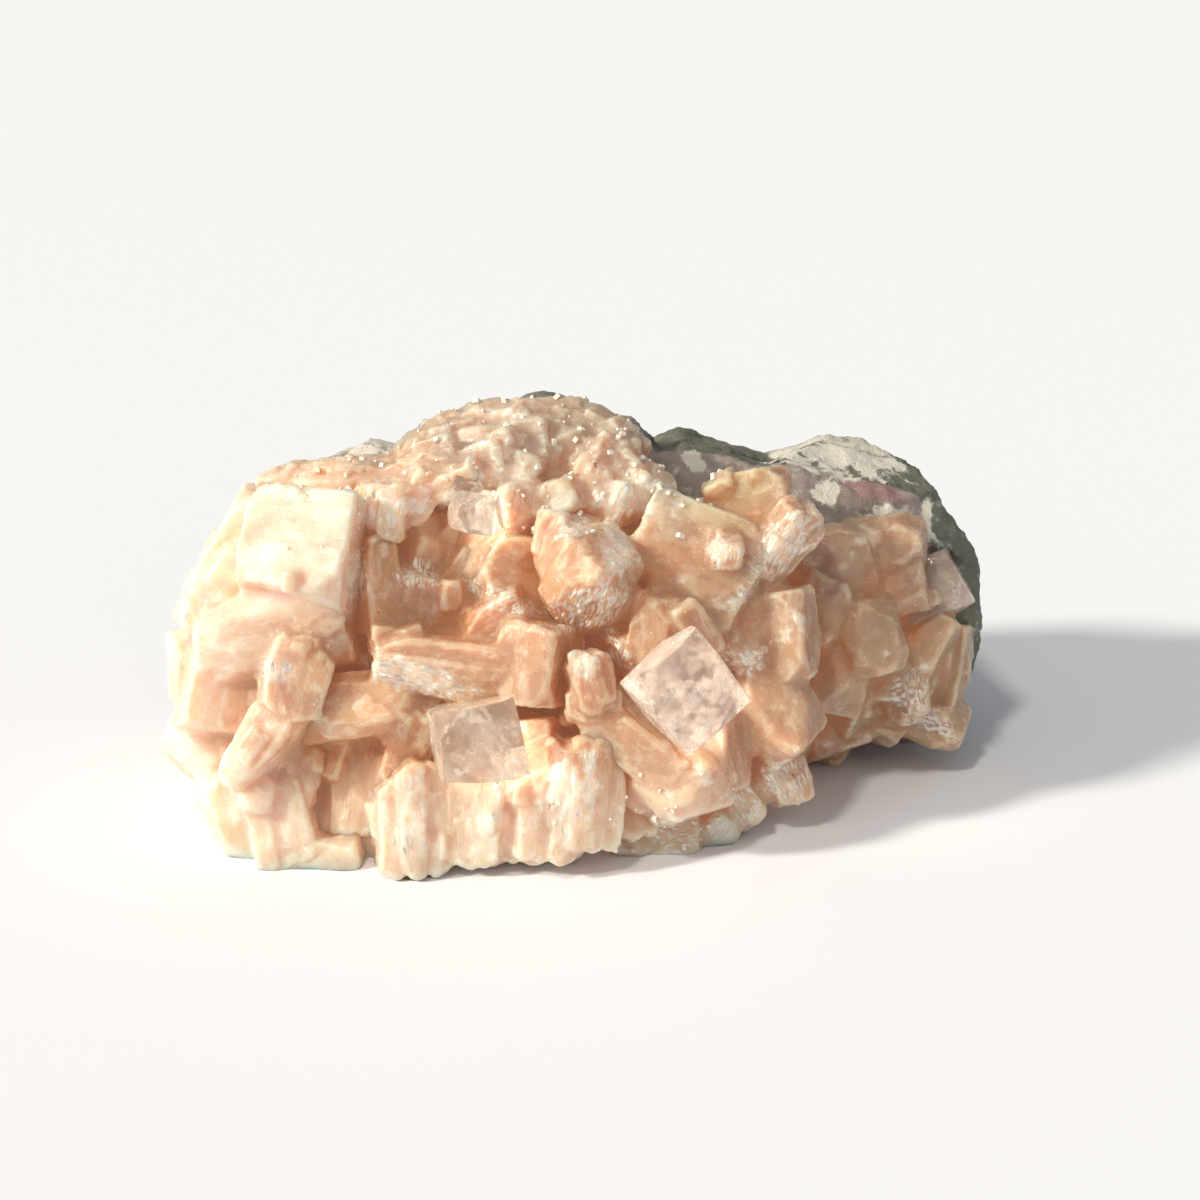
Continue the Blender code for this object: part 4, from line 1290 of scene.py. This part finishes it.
def store_stilbite_values(target, group_parts, owner, local, crowding):
    """Stores each point's place in its crystal, and how that crystal and spot are toned, including the
    painted light and shade.
    """
    points = points_of(target)
    normals = normals_of(target)
    half_long = np.array([plate.half.z for plate in group_parts])[owner]
    draws = [random.Random(f"offset {plate.look[0]}") for plate in group_parts]
    offsets = np.array([[draw.uniform(0, 400) for _ in range(3)] for draw in draws])
    curve = ((neighbour_mean(target, points) - points) * normals).sum(1)
    curve = -neighbour_mean(target, neighbour_mean(target, curve))
    set_values(target, "grain", (local + offsets[owner]) * MM)
    set_values(target, "tone", np.array([plate.look[2] for plate in group_parts])[owner])
    set_values(target, "tip", eased(np.abs(local[:, 2]) / half_long, 0.55, 1.0))
    set_values(target, "edge", np.clip(curve / 0.03, -1, 1))
    # The crowding places the painted shade and the painted glow in the hollows.
    set_values(target, "hollow", crowding.at(points + normals * 1.5))
    rounding = np.array([HABITS[plate.look[1]].rounding for plate in group_parts])[owner]
    set_values(target, "smooth", rounding)
    across, up = seen_at(points)
    # Greyer on the top dome, the crystals' own colour; darker on the right lobe and the middle right,
    # partly their own browner colour and partly painted shade.
    dome = eased(up, 56, 66) * eased(across, -34, -22)
    lobe = eased(across, 28, 40) * 0.45 + eased(across, 2, 24) * eased(up, 14, 24) * 0.4
    set_values(target, "grey_and_shade", np.clip(dome + lobe, 0, 1))
    set_values(target, "honey", honeyed(across, up))
    # Painted sunlight: paler towards the left side, on the foot of the front row, along the top crust and
    # on the great slab's face, where the key light falls strongest.
    foot = 0.55 * eased(up, 20, 8) * eased(across, 40, 26)
    crust = 0.3 * eased(up, 48, 54) * eased(across, -46, -38) * eased(across, 24, 14)
    painted_sunlight = eased(across, -34, -58) + 0.9 * slab_painted_highlight(across, up) + foot + crust
    set_values(target, "painted_sunlight", np.clip(painted_sunlight, 0, 1))
    # Frost from the spots is partly real frosting and partly a painted highlight.
    frost, glitter = spot_values(across, up)
    set_values(target, "frost", frost)
    set_values(target, "glitter", glitter)


def honeyed(across, up):
    """How yellow the crystals are: a little on the right lobe, and more behind the rod."""
    lobe = eased(across, 36, 44) * eased(up, 42, 34) * 0.35
    return lobe + eased(across, 12, 18) * eased(across, 31, 27) * eased(up, 50, 54) * 0.9


def nearness(spot, across, up):
    """1 in the middle of a patch, fading out past its half sizes."""
    turn = math.radians(spot.turn)
    along = (across - spot.across) * math.cos(turn) - (up - spot.up) * math.sin(turn)
    over = (across - spot.across) * math.sin(turn) + (up - spot.up) * math.cos(turn)
    return np.exp(-((along / spot.half_across) ** 2) - (over / spot.half_up) ** 2)


def spot_values(across, up):
    """How frosted and how glittering each point is, from the table of spots. The frost is partly a painted
    highlight.
    """
    frost = np.max([nearness(spot, across, up) * spot.frost for spot in SPOTS], axis=0)
    glitter = np.max([nearness(spot, across, up) * spot.glitter for spot in SPOTS], axis=0)
    return frost, glitter


def slab_painted_highlight(across, up):
    """1 on the pearly face of the great slab at the upper left, where a highlight is painted, and 0 away
    from it.
    """
    return eased(across, -53, -50) * eased(across, -30, -33) * eased(up, 37, 41) * eased(up, 60, 56)


def stilbite_finish():
    """Pearly peach crystal: light goes in and comes out warmer, edges and patches are frosted, partly as a
    painted highlight, fine ribs run along each crystal, the hollows are darkened with painted shade and
    given a painted glow in place of the light that comes through from behind, and the sunlit side is
    painted paler."""
    settings = bpy.context.scene.cluster_stilbite
    finish = Finish("stilbite")
    grain = finish.attribute("grain", "Vector")
    stored = ("tone", "tip", "edge", "hollow", "smooth", "grey_and_shade", "honey", "painted_sunlight")
    tone, tip, edge, hollow, smooth, grey_and_shade, honey, painted_sunlight = (finish.attribute(name) for name in stored)

    cloud = finish.noise(finish.place, 6.0, detail=1)
    patch = finish.noise(finish.place, 3.2, detail=3, roughness=0.6)
    domains = finish.cells(grain, 2.6, stretch=(1, 1, 1.8), output="Color")
    domain = finish.red(domains)
    veil = finish.noise(grain, 2.2, detail=3, stretch=(1, 1, 1.5), roughness=0.6)
    streak = finish.noise(grain, 0.45, detail=1, stretch=(1, 1, 10))
    flakes = finish.cells(grain, 0.26, stretch=(1, 1, 3.6), output="Color")
    grit = finish.noise(finish.place, 0.28, detail=2, roughness=0.7)

    painted_shade_share = (hollow + (cloud - 0.5) * 0.2).above(0.26, 0.60)
    # Frost on crests, tips and patches: partly frosting and wear, partly a painted highlight where edges
    # and the sunlit side catch the light.
    frosted = edge.above(0.35, 0.9) * 0.3 + tip * 0.1 + patch.above(0.58, 0.72) * 0.6 + painted_sunlight * 0.3
    frosted = frosted * (1 - painted_shade_share) * (1 - smooth * 0.3)
    frosted = (frosted + (finish.attribute("frost") + (patch - 0.5) * 1.6).above(0.25, 0.75)).clamped()
    glitter = (finish.attribute("glitter") + (patch - 0.5) * 1.2 + edge * 0.1).above(0.2, 0.6)
    glitter = (glitter + frosted * 0.25).clamped()

    colour = finish.mixed((tone * 0.6 + cloud * 0.5 - 0.2).clamped(), settings.peach, settings.pale)
    colour = finish.mixed(domain.above(0.3, 0.9) * 0.3, colour, settings.rosy)
    colour = finish.mixed(veil.above(0.48, 0.62) * 0.4, colour, settings.frost)
    colour = finish.mixed(streak.above(0.5, 0.7) * frosted * 0.2, colour, settings.frost)
    colour = finish.mixed(grey_and_shade * 0.75, colour, settings.grey_and_shade)
    colour = finish.mixed(honey.clamped(), colour, settings.honey)
    # Painted shade: the hollows between the crystals are darkened.
    colour = finish.mixed(painted_shade_share * 0.85, colour, settings.painted_shade)
    # Frost colour mixed in: partly frosting, partly a painted highlight.
    colour = finish.mixed(frosted * 0.75, colour, settings.frost)
    # Painted sunlight: the side where the key light falls is mixed paler.
    colour = finish.mixed((painted_sunlight * (0.6 + (cloud - 0.5) * 1.4)).clamped(), colour, settings.sunlit)
    # Painted glints: tiny near-white dots mixed into the base colour.
    painted_glints = 1 - finish.cells(finish.place, 1.2).above(0.06, 0.12)
    colour = finish.mixed(painted_glints * (cloud > 0.48) * (1 - painted_shade_share) * 0.8, colour, settings.glint)
    specks = 1 - finish.cells(finish.place, 2.8).above(0.0, 0.085)
    colour = finish.mixed(specks * (grit > 0.5) * 0.8, colour, SPECK_COLOUR)

    ribs = finish.noise(grain, 0.30, detail=1, stretch=(1, 1, 12))
    normal = finish.bump(ribs + grit, 0.00016, 0.6)
    normal = finish.flaked(normal, domains, 0.45)

    rough = 0.3 + (grit - 0.5) * 0.4
    finish.set(Base_Color=colour, Roughness=rough.clamped(), Normal=normal)
    # Painted glow: the hollows emit a warm light, though no lamp is there.
    finish.set(Emission_Color=finish.mixed(painted_shade_share, (0, 0, 0), settings.glow), Emission_Strength=1.0)
    finish.set(Subsurface_Weight=1.0, Subsurface_Scale=settings.depth, Subsurface_Radius=SCATTER)
    finish.set(IOR=STILBITE_IOR)
    # Flakes in the glitter patches: tilted facets that reflect the light, laid on with a near-white base
    # colour, so they are partly painted glints.
    facet = finish.red(flakes)
    share = (glitter * facet.above(0.5, 0.56) * 0.85).clamped()
    finish.overlaid(share, settings.glint, 0.25, finish.flaked(normal, flakes, 1.0))
    finish.material.cycles.emission_sampling = "NONE"
    return finish.material


def behind_rind():
    """A block that fills what is behind the wavy sheet where the stilbite ends."""
    half_width, low, high, far = 90, -8, 80, 90
    columns, rows = 60, 30
    deselected()
    bpy.ops.mesh.primitive_grid_add(x_subdivisions=columns, y_subdivisions=rows, size=2)
    target = bpy.context.object
    bpy.ops.object.mode_set(mode="EDIT")
    bpy.ops.mesh.select_all(action="SELECT")
    bpy.ops.mesh.extrude_region_move(TRANSFORM_OT_translate={"value": (0, 0, 1)})
    bpy.ops.object.mode_set(mode="OBJECT")
    flat = points_of(target) * MM
    x = flat[:, 0] * half_width
    z = low + (flat[:, 1] + 1) / 2 * (high - low)
    y = np.where(flat[:, 2] > 0.5, far, rind_front(x, z) + RIND_OVERLAP)
    move_points(target, np.stack([x, y, z], 1))
    target.name = "behind"
    only(target)
    bpy.ops.object.mode_set(mode="EDIT")
    return finished_edit(target)


def clear_blocks(name):
    """The faces, placing and half sizes of a node's clear crystals."""
    blocks = []
    for number, crystal in enumerate(CLEAR_CRYSTALS[name]):
        placing = crystal_placing(crystal)
        for half, planes, local in crystal_bodies(crystal, f"{name} {number}"):
            blocks.append((moved_planes(planes, placing @ local), placing, half * OVERSIZE))
    return blocks


def cut_by(target, cutter):
    """Cuts the cutter's shape out of the target."""
    applied(target, "BOOLEAN", operation="DIFFERENCE", solver="MANIFOLD", object=cutter)


def removed(*targets):
    """Deletes these objects."""
    for target in targets:
        bpy.data.objects.remove(target)


def placed_piece(target, slot, *nodes):
    """Lets a finished piece ride with the cluster, in place of these CAD nodes."""
    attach(target, BODY)
    if nodes:
        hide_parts(*nodes)
    return target


def painted(target, material):
    """Gives the object this one material."""
    target.data.materials.clear()
    target.data.materials.append(material)
    return target


class CLUSTER_OT_stilbite(bpy.types.Operator):
    """Build the peach stilbite crystals, stretch by stretch"""

    bl_idname = "cluster.stilbite"
    bl_label = "Stilbite"

    def execute(self, context):
        settings = context.scene.cluster_stilbite
        parts = {group.name: group_plates(group) for group in STILBITE_GROUPS}
        everything = [plate for made in parts.values() for plate in made]
        crowding = Crowding(everything, 4.0)
        for group in STILBITE_GROUPS:
            parts[group.name] += sprouts(group, list(parts[group.name]), everything)
        cutters = [behind_rind()]
        cutters += [modelled_blocks("pocket", clear_blocks(name), -0.1) for name in CLEAR_CRYSTALS]
        finish = stilbite_finish()
        for group in STILBITE_GROUPS:
            made = parts[group.name]
            blocks = [(plate.cuts, plate.placing, plate.half) for plate in made]
            target = modelled_blocks(group.name, blocks)
            grown_together(target, settings)
            for cutter in cutters:
                cut_by(target, cutter)
            dressed_stilbite(target, made, crowding)
            flat_below(target)
            target.data.shade_smooth()
            placed_piece(painted(target, finish), "stilbite", "stilbite_crystals")
        removed(*cutters)
        return {"FINISHED"}


def druse_models():
    """A few tiny blocky crystals to copy, about 1 unit long, as points and faces."""
    models = []
    for number in range(4):
        draw = random.Random(f"druse {number}")
        half = Vector((draw.uniform(0.32, 0.5), draw.uniform(0.25, 0.4), 0.5))
        planes = box_planes(half, draw, 6) + corner_planes(half, draw, 3, 0.75)
        target = modelled_blocks("druse model", [(planes, Matrix.Identity(4), half * OVERSIZE)])
        faces = [list(face.vertices) for face in target.data.polygons]
        models.append((points_of(target), faces))
        removed(target)
    return models


def druse_spots(draw, count):
    """Spots on the front of the stilbite for tiny crystals, each with its point and outward normal."""
    spots = []
    for group in STILBITE_GROUPS:
        target = bpy.data.objects[group.name]
        points = points_of(target)
        normals = normals_of(target)
        across, up = seen_at(points)
        crust = eased(up, 47, 53) * eased(across, -44, -36) * (1 - eased(across, 16, 24))
        ledge = eased(across, 10, 14) * (1 - eased(across, 18, 24)) * eased(up, 52, 56)
        foot = eased(across, 4, 10) * (1 - eased(across, 20, 26)) * (1 - eased(up, 12, 20))
        weight = 0.006 + crust + 0.7 * ledge + 0.9 * foot
        edge = np.empty(len(points), np.float32)
        target.data.attributes["edge"].data.foreach_get("value", edge)
        weight = weight * (0.4 + np.clip(edge, 0, 1)) * (points[:, 2] > 1)
        for index in np.flatnonzero(weight > 0.01):
            spots.append((float(weight[index]), points[index], normals[index]))
    weights = [spot[0] for spot in spots]
    return draw.choices(spots, weights=weights, k=count)


def druse_mesh(count, smallest, largest):
    """Tiny crystals set on the large ones, all in one mesh."""
    draw = random.Random("druse")
    models = druse_models()
    points, faces = [], []
    for _, place, normal in druse_spots(draw, count):
        shape, sides = models[draw.randrange(len(models))]
        size = smallest + (largest - smallest) * draw.random() ** 2.2
        aim = Vector(normal) + Vector([draw.uniform(-0.9, 0.9) for _ in range(3)])
        turn = aim.to_track_quat("Z", "Y").to_matrix() @ Matrix.Rotation(draw.uniform(0, math.tau), 3, "Z")
        start = sum(len(part) for part in points)
        points.append(shape @ np.array(turn).T * size + place + normal * size * 0.12)
        faces += [[start + index for index in side] for side in sides]
    data = bpy.data.meshes.new("stilbite_druse")
    data.from_pydata((np.concatenate(points) * MM).tolist(), [], faces)
    return data


def druse_finish():
    """Frosty little crystals, paler than the ones that they sit on."""
    settings = bpy.context.scene.cluster_stilbite
    finish = Finish("druse")
    patch = finish.noise(finish.place, 2.4, detail=2)
    colour = finish.mixed(patch.above(0.3, 0.6), settings.frost, settings.glint)
    rough = 0.2 + finish.noise(finish.place, 0.5) * 0.3
    finish.set(Base_Color=colour, Roughness=rough, IOR=STILBITE_IOR)
    return finish.material


class CLUSTER_OT_druse(bpy.types.Operator):
    """Dust tiny crystals over the stilbite"""

    bl_idname = "cluster.druse"
    bl_label = "Druse"

    def execute(self, context):
        settings = context.scene.cluster_druse
        data = druse_mesh(settings.count, settings.smallest / MM, settings.largest / MM)
        target = bpy.data.objects.new("stilbite_druse", data)
        context.scene.collection.objects.link(target)
        placed_piece(painted(target, druse_finish()), "stilbite")
        return {"FINISHED"}


def clear_finish(name, tint, settings):
    """Clear crystal, finely scratched, with milky clouds and wisps on its faces."""
    finish = Finish(name)
    cloud = finish.noise(finish.place, 7.0, detail=3, roughness=0.6)
    scratch = finish.noise(finish.place, 0.5, detail=3, stretch=(1, 1, 7))
    rough = (0.04 + scratch.above(0.45, 0.7) * 0.2).clamped()
    normal = finish.bump(scratch, 0.0002, 0.4)
    finish.set(Base_Color=(*tint, 1), Roughness=rough, Normal=normal)
    finish.set(Transmission_Weight=settings.clarity, IOR=CLEAR_IOR)
    wisp = finish.noise(finish.place, 2.6, detail=4, stretch=(1, 2.5, 1), roughness=0.65)
    share = (0.06 + cloud.above(0.4, 0.85) * settings.milk + wisp.above(0.54, 0.66) * 0.4).clamped()
    finish.overlaid(share, MILK_COLOUR, 0.35, normal)
    finish.filled((*tint, 1), CLEAR_DENSITY)
    return finish.material


def veil_finish():
    """Healed cracks inside the clear crystals: thin white films with ragged gaps."""
    finish = Finish("veil")
    web = finish.noise(finish.place, 2.4, detail=4, roughness=0.65)
    finish.set(Base_Color=(*VEIL_COLOUR, 1), Roughness=0.5, Alpha=web.above(0.35, 0.75) * 0.3)
    return finish.material


def veils(name):
    """Thin films inside a node's clear crystals, each cut a little smaller than its crystal."""
    draw = random.Random("veils " + name)
    target = started(name.replace("crystal", "veil"))
    for faces, placing, half in clear_blocks(name):
        for _ in range(3 if half.z > 6 else 1):
            axis = Vector([draw.uniform(-1, 1) for _ in range(3)]).normalized()
            bpy.ops.mesh.primitive_plane_add(
                size=half.length * 2.2 * MM,
                location=placing @ Vector([draw.uniform(-0.2, 0.2) * length for length in half]) * MM,
                rotation=axis.to_track_quat("Z", "Y").to_euler(),
            )
            for point, normal in faces:
                inset = (point - normal * VEIL_INSET) * MM
                bpy.ops.mesh.select_all(action="SELECT")
                bpy.ops.mesh.bisect(plane_co=inset, plane_no=normal, clear_outer=True)
            bpy.ops.mesh.select_all(action="SELECT")
            bpy.ops.mesh.hide(unselected=False)
    return applied(finished_edit(target), "SOLIDIFY", thickness=VEIL_THICKNESS * MM)


class CLUSTER_OT_clear_crystals(bpy.types.Operator):
    """Build the clear apophyllite crystals, with veils inside"""

    bl_idname = "cluster.clear_crystals"
    bl_label = "Clear Crystals"

    def execute(self, context):
        settings = context.scene.cluster_clear
        film = veil_finish()
        for name in CLEAR_CRYSTALS:
            target = modelled_blocks(name + "_block", clear_blocks(name))
            applied(target, "BEVEL", width=settings.bevel, segments=2, limit_method="ANGLE")
            target.data.shade_smooth()
            only(target)
            bpy.ops.object.shade_smooth_by_angle(angle=math.radians(25))
            finish = clear_finish(name, CLEAR_TINTS[name], settings)
            placed_piece(painted(target, finish), "clear_crystal", name)
            films = placed_piece(painted(veils(name), film), "clear_crystal")
            for piece in (target, films):
                piece.visible_shadow = False
        return {"FINISHED"}


def rock_copy(name, node):
    """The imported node's shape as a new piece, closed and with its foot drawn down below the ground."""
    deselected()
    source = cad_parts[node]
    target = bpy.data.objects.new(name, source.data.copy())
    target.data.name = name
    bpy.context.scene.collection.objects.link(target)
    only(target)
    bpy.ops.object.mode_set(mode="EDIT")
    bpy.ops.mesh.select_all(action="SELECT")
    bpy.ops.mesh.remove_doubles(threshold=MERGE_DISTANCE * MM)
    bpy.ops.mesh.select_all(action="DESELECT")
    bpy.ops.mesh.select_mode(type="FACE")
    bpy.ops.object.mode_set(mode="OBJECT")
    for face in target.data.polygons:
        face.select = face.normal.z < -0.99 and face.center.z < FOOT_HEIGHT * MM
    bpy.ops.object.mode_set(mode="EDIT")
    bpy.ops.mesh.extrude_region_move(TRANSFORM_OT_translate={"value": (0, 0, -FOOT_DEPTH * MM)})
    bpy.ops.object.mode_set(mode="OBJECT")
    return target


def clouds(name, size):
    """A soft solid noise for a Displace modifier."""
    texture = bpy.data.textures.new(name, "CLOUDS")
    texture.noise_scale = size
    return texture


def displaced(target, name, size, strength):
    """Raises and sinks a surface by soft noise."""
    texture = clouds(name, size)
    applied(target, "DISPLACE", texture=texture, texture_coords="LOCAL", strength=strength, mid_level=0.5)


def roughened(target, lumps, grit):
    """Breaks up a rock's surface with lumps, knobs and grit."""
    displaced(target, "lumps", 0.009, lumps)
    displaced(target, "knobs", 0.003, lumps * 0.5)
    displaced(target, "grit", 0.0012, grit)


def store_rind_values(target):
    """Stores where the front's crust, rose and dark patches are, and where the bare stone begins."""
    points = points_of(target)
    across, up = seen_at(points)
    facing = eased(normals_of(target)[:, 1], 0.5, 0.1)
    for name, marks in RIND_MARKS.items():
        set_values(target, name, np.max([nearness(mark, across, up) for mark in marks], axis=0) * facing)
    stone = eased(across, 51, 54) + eased(points[:, 1], 13, 17) * eased(across, 0, 20)
    set_values(target, "stone", np.clip(stone, 0, 1))


def basalt_finish():
    """Fine grey-green basalt with dark specks, pale filled bubbles and patches of chalky crust."""
    settings = bpy.context.scene.cluster_rock
    finish = Finish("basalt")
    broad = finish.noise(finish.place, 9.0, detail=4)
    fine = finish.noise(finish.place, 0.7, detail=5, roughness=0.7)
    bubbles = 1 - finish.cells(finish.place, 5.5).above(0.10, 0.26)
    specks = 1 - finish.cells(finish.place, 1.5).above(0.12, 0.3)
    colour = finish.mixed(broad.above(0.35, 0.65), settings.basalt, (0.26, 0.25, 0.20))
    colour = finish.mixed(fine.above(0.35, 0.7) * 0.5, colour, (0.09, 0.10, 0.08))
    colour = finish.mixed(specks * 0.6, colour, (0.035, 0.04, 0.032))
    colour = finish.mixed(bubbles * broad.above(0.45, 0.6) * 0.8, colour, (0.55, 0.55, 0.46))
    crusted = (finish.attribute("crust") + (broad - 0.5) * 2 + (fine - 0.5)).above(0.25, 0.5)
    colour = finish.mixed(crusted * 0.85, colour, settings.crust)
    normal = finish.bump(fine, 0.0006, 0.8)
    finish.set(Base_Color=colour, Roughness=(0.72 + fine * 0.3).clamped(), Normal=normal)
    return finish.material


def rind_finish():
    """Lilac-grey rind with a rose band, dark spots and chalky crust, and bare stone at its end."""
    settings = bpy.context.scene.cluster_rock
    finish = Finish("rind")
    broad = finish.noise(finish.place, 7.0, detail=4)
    patches = finish.noise(finish.place, 2.6, detail=4, roughness=0.6)
    fine = finish.noise(finish.place, 0.5, detail=5, roughness=0.7)
    ragged = (patches - 0.5) * 2.2
    crusted = (finish.attribute("crust") + ragged).above(0.3, 0.6)
    rosy = (finish.attribute("rose") + ragged).above(0.3, 0.7)
    dark = (finish.attribute("dark") + ragged * 0.5).above(0.4, 0.6)
    stony = (finish.attribute("stone") + ragged * 0.3).above(0.4, 0.6)
    colour = finish.mixed(broad.above(0.35, 0.65), settings.rind, (0.30, 0.235, 0.205))
    colour = finish.mixed(patches.above(0.5, 0.62) * 0.6, colour, (0.56, 0.51, 0.45))
    colour = finish.mixed(rosy * 0.8, colour, settings.rose)
    colour = finish.mixed(fine.above(0.5, 0.75) * 0.5, colour, (0.20, 0.17, 0.16))
    colour = finish.mixed(stony, colour, settings.basalt)
    colour = finish.mixed(stony * patches.above(0.55, 0.7), colour, (0.42, 0.44, 0.40))
    colour = finish.mixed(dark, colour, (0.03, 0.04, 0.03))
    colour = finish.mixed(crusted, colour, settings.crust)
    normal = finish.bump(fine, 0.0005, 0.8)
    finish.set(Base_Color=colour, Roughness=(0.6 + fine * 0.3).clamped(), Normal=normal)
    return finish.material


class CLUSTER_OT_rock(bpy.types.Operator):
    """Build the pale rind and the basalt behind the crystals"""

    bl_idname = "cluster.rock"
    bl_label = "Rind and Basalt"

    def execute(self, context):
        settings = context.scene.cluster_rock
        finishes = {"rind": rind_finish(), "basalt": basalt_finish()}
        for name, node, slot in (("rind", "pale_rind", "rind"), ("basalt", "basalt_matrix", "basalt")):
            target = rock_copy(name, node)
            applied(target, "REMESH", mode="VOXEL", voxel_size=settings.cell, adaptivity=0)
            roughened(target, settings.lumps, settings.grit)
            flat_below(target)
            store_rind_values(target)
            target.data.shade_smooth()
            placed_piece(painted(target, finishes[name]), slot, node)
        return {"FINISHED"}


class CLUSTER_OT_studio(bpy.types.Operator):
    """Set the floor, the light and the camera"""

    bl_idname = "cluster.studio"
    bl_label = "Studio"

    def execute(self, context):
        settings = context.scene.cluster_studio
        self.lay_floor(settings)
        self.hang_light(settings)
        self.set_camera(context)
        context.scene.view_settings.view_transform = "Standard"
        return {"FINISHED"}

    def lay_floor(self, settings):
        """A plain pale floor."""
        deselected()
        bpy.ops.mesh.primitive_plane_add(size=FLOOR_SIZE)
        floor = bpy.context.object
        floor.name = "floor"
        finish = Finish("floor")
        finish.set(Base_Color=(*settings.floor, 1), Roughness=0.9)
        painted(floor, finish.material)

    def hang_light(self, settings):
        """Two soft suns and an even light from all round."""
        suns = (("key", settings.sun, KEY_TOWARDS), ("top", settings.top, TOP_TOWARDS))
        for name, energy, towards in suns:
            data = bpy.data.lights.new(name, "SUN")
            data.energy = energy
            data.angle = settings.softness
            data.color = settings.sun_colour
            light = bpy.data.objects.new(name, data)
            bpy.context.scene.collection.objects.link(light)
            light.rotation_euler = towards.to_track_quat("Z", "Y").to_euler()
        world = bpy.data.worlds.new("studio")
        bpy.context.scene.world = world
        world.use_nodes = True
        background = world.node_tree.nodes["Background"]
        background.inputs["Color"].default_value = (1, 1, 1, 1)
        background.inputs["Strength"].default_value = settings.fill

    def set_camera(self, context):
        """A camera at the place that the front is looked at from."""
        data = bpy.data.cameras.new("camera")
        data.sensor_width = SENSOR_WIDTH
        data.lens = data.sensor_width * EYE_DISTANCE / VIEW_WIDTH
        camera = bpy.data.objects.new("camera", data)
        context.scene.collection.objects.link(camera)
        camera.location = EYE * MM
        camera.rotation_euler = (math.pi / 2 - SIGHT_TILT, 0, 0)
        data.clip_start = 0.01
        context.scene.camera = camera


class CLUSTER_PT_panel(bpy.types.Panel):
    """The buttons and settings of the cluster"""

    bl_idname = "CLUSTER_PT_panel"
    bl_label = "Zeolite Cluster"
    bl_space_type = "VIEW_3D"
    bl_region_type = "UI"
    bl_category = "Cluster"

    def draw(self, context):
        for operator in OPERATORS:
            self.layout.operator(operator.bl_idname)
        for name, group in SETTINGS.items():
            box = self.layout.box()
            for field in group.__annotations__:
                box.prop(getattr(context.scene, name), field)


SETTINGS = {
    "cluster_stilbite": StilbiteSettings,
    "cluster_druse": DruseSettings,
    "cluster_clear": ClearSettings,
    "cluster_rock": RockSettings,
    "cluster_studio": StudioSettings,
}
OPERATORS = (
    CLUSTER_OT_stilbite,
    CLUSTER_OT_druse,
    CLUSTER_OT_clear_crystals,
    CLUSTER_OT_rock,
    CLUSTER_OT_studio,
)


def register():
    """Registers the settings, the operators and the panel."""
    for group in SETTINGS.values():
        bpy.utils.register_class(group)
    for name, group in SETTINGS.items():
        setattr(bpy.types.Scene, name, PointerProperty(type=group))
    for operator in (*OPERATORS, CLUSTER_PT_panel):
        bpy.utils.register_class(operator)


def unregister():
    """Takes out what register() put in."""
    for operator in (CLUSTER_PT_panel, *OPERATORS):
        bpy.utils.unregister_class(operator)
    for name, group in SETTINGS.items():
        delattr(bpy.types.Scene, name)
        bpy.utils.unregister_class(group)


def main():
    """Builds the whole cluster."""
    register()
    bpy.ops.cluster.stilbite()
    bpy.ops.cluster.druse()
    bpy.ops.cluster.clear_crystals()
    bpy.ops.cluster.rock()
    bpy.ops.cluster.studio()


if __name__ == "__main__":
    main()
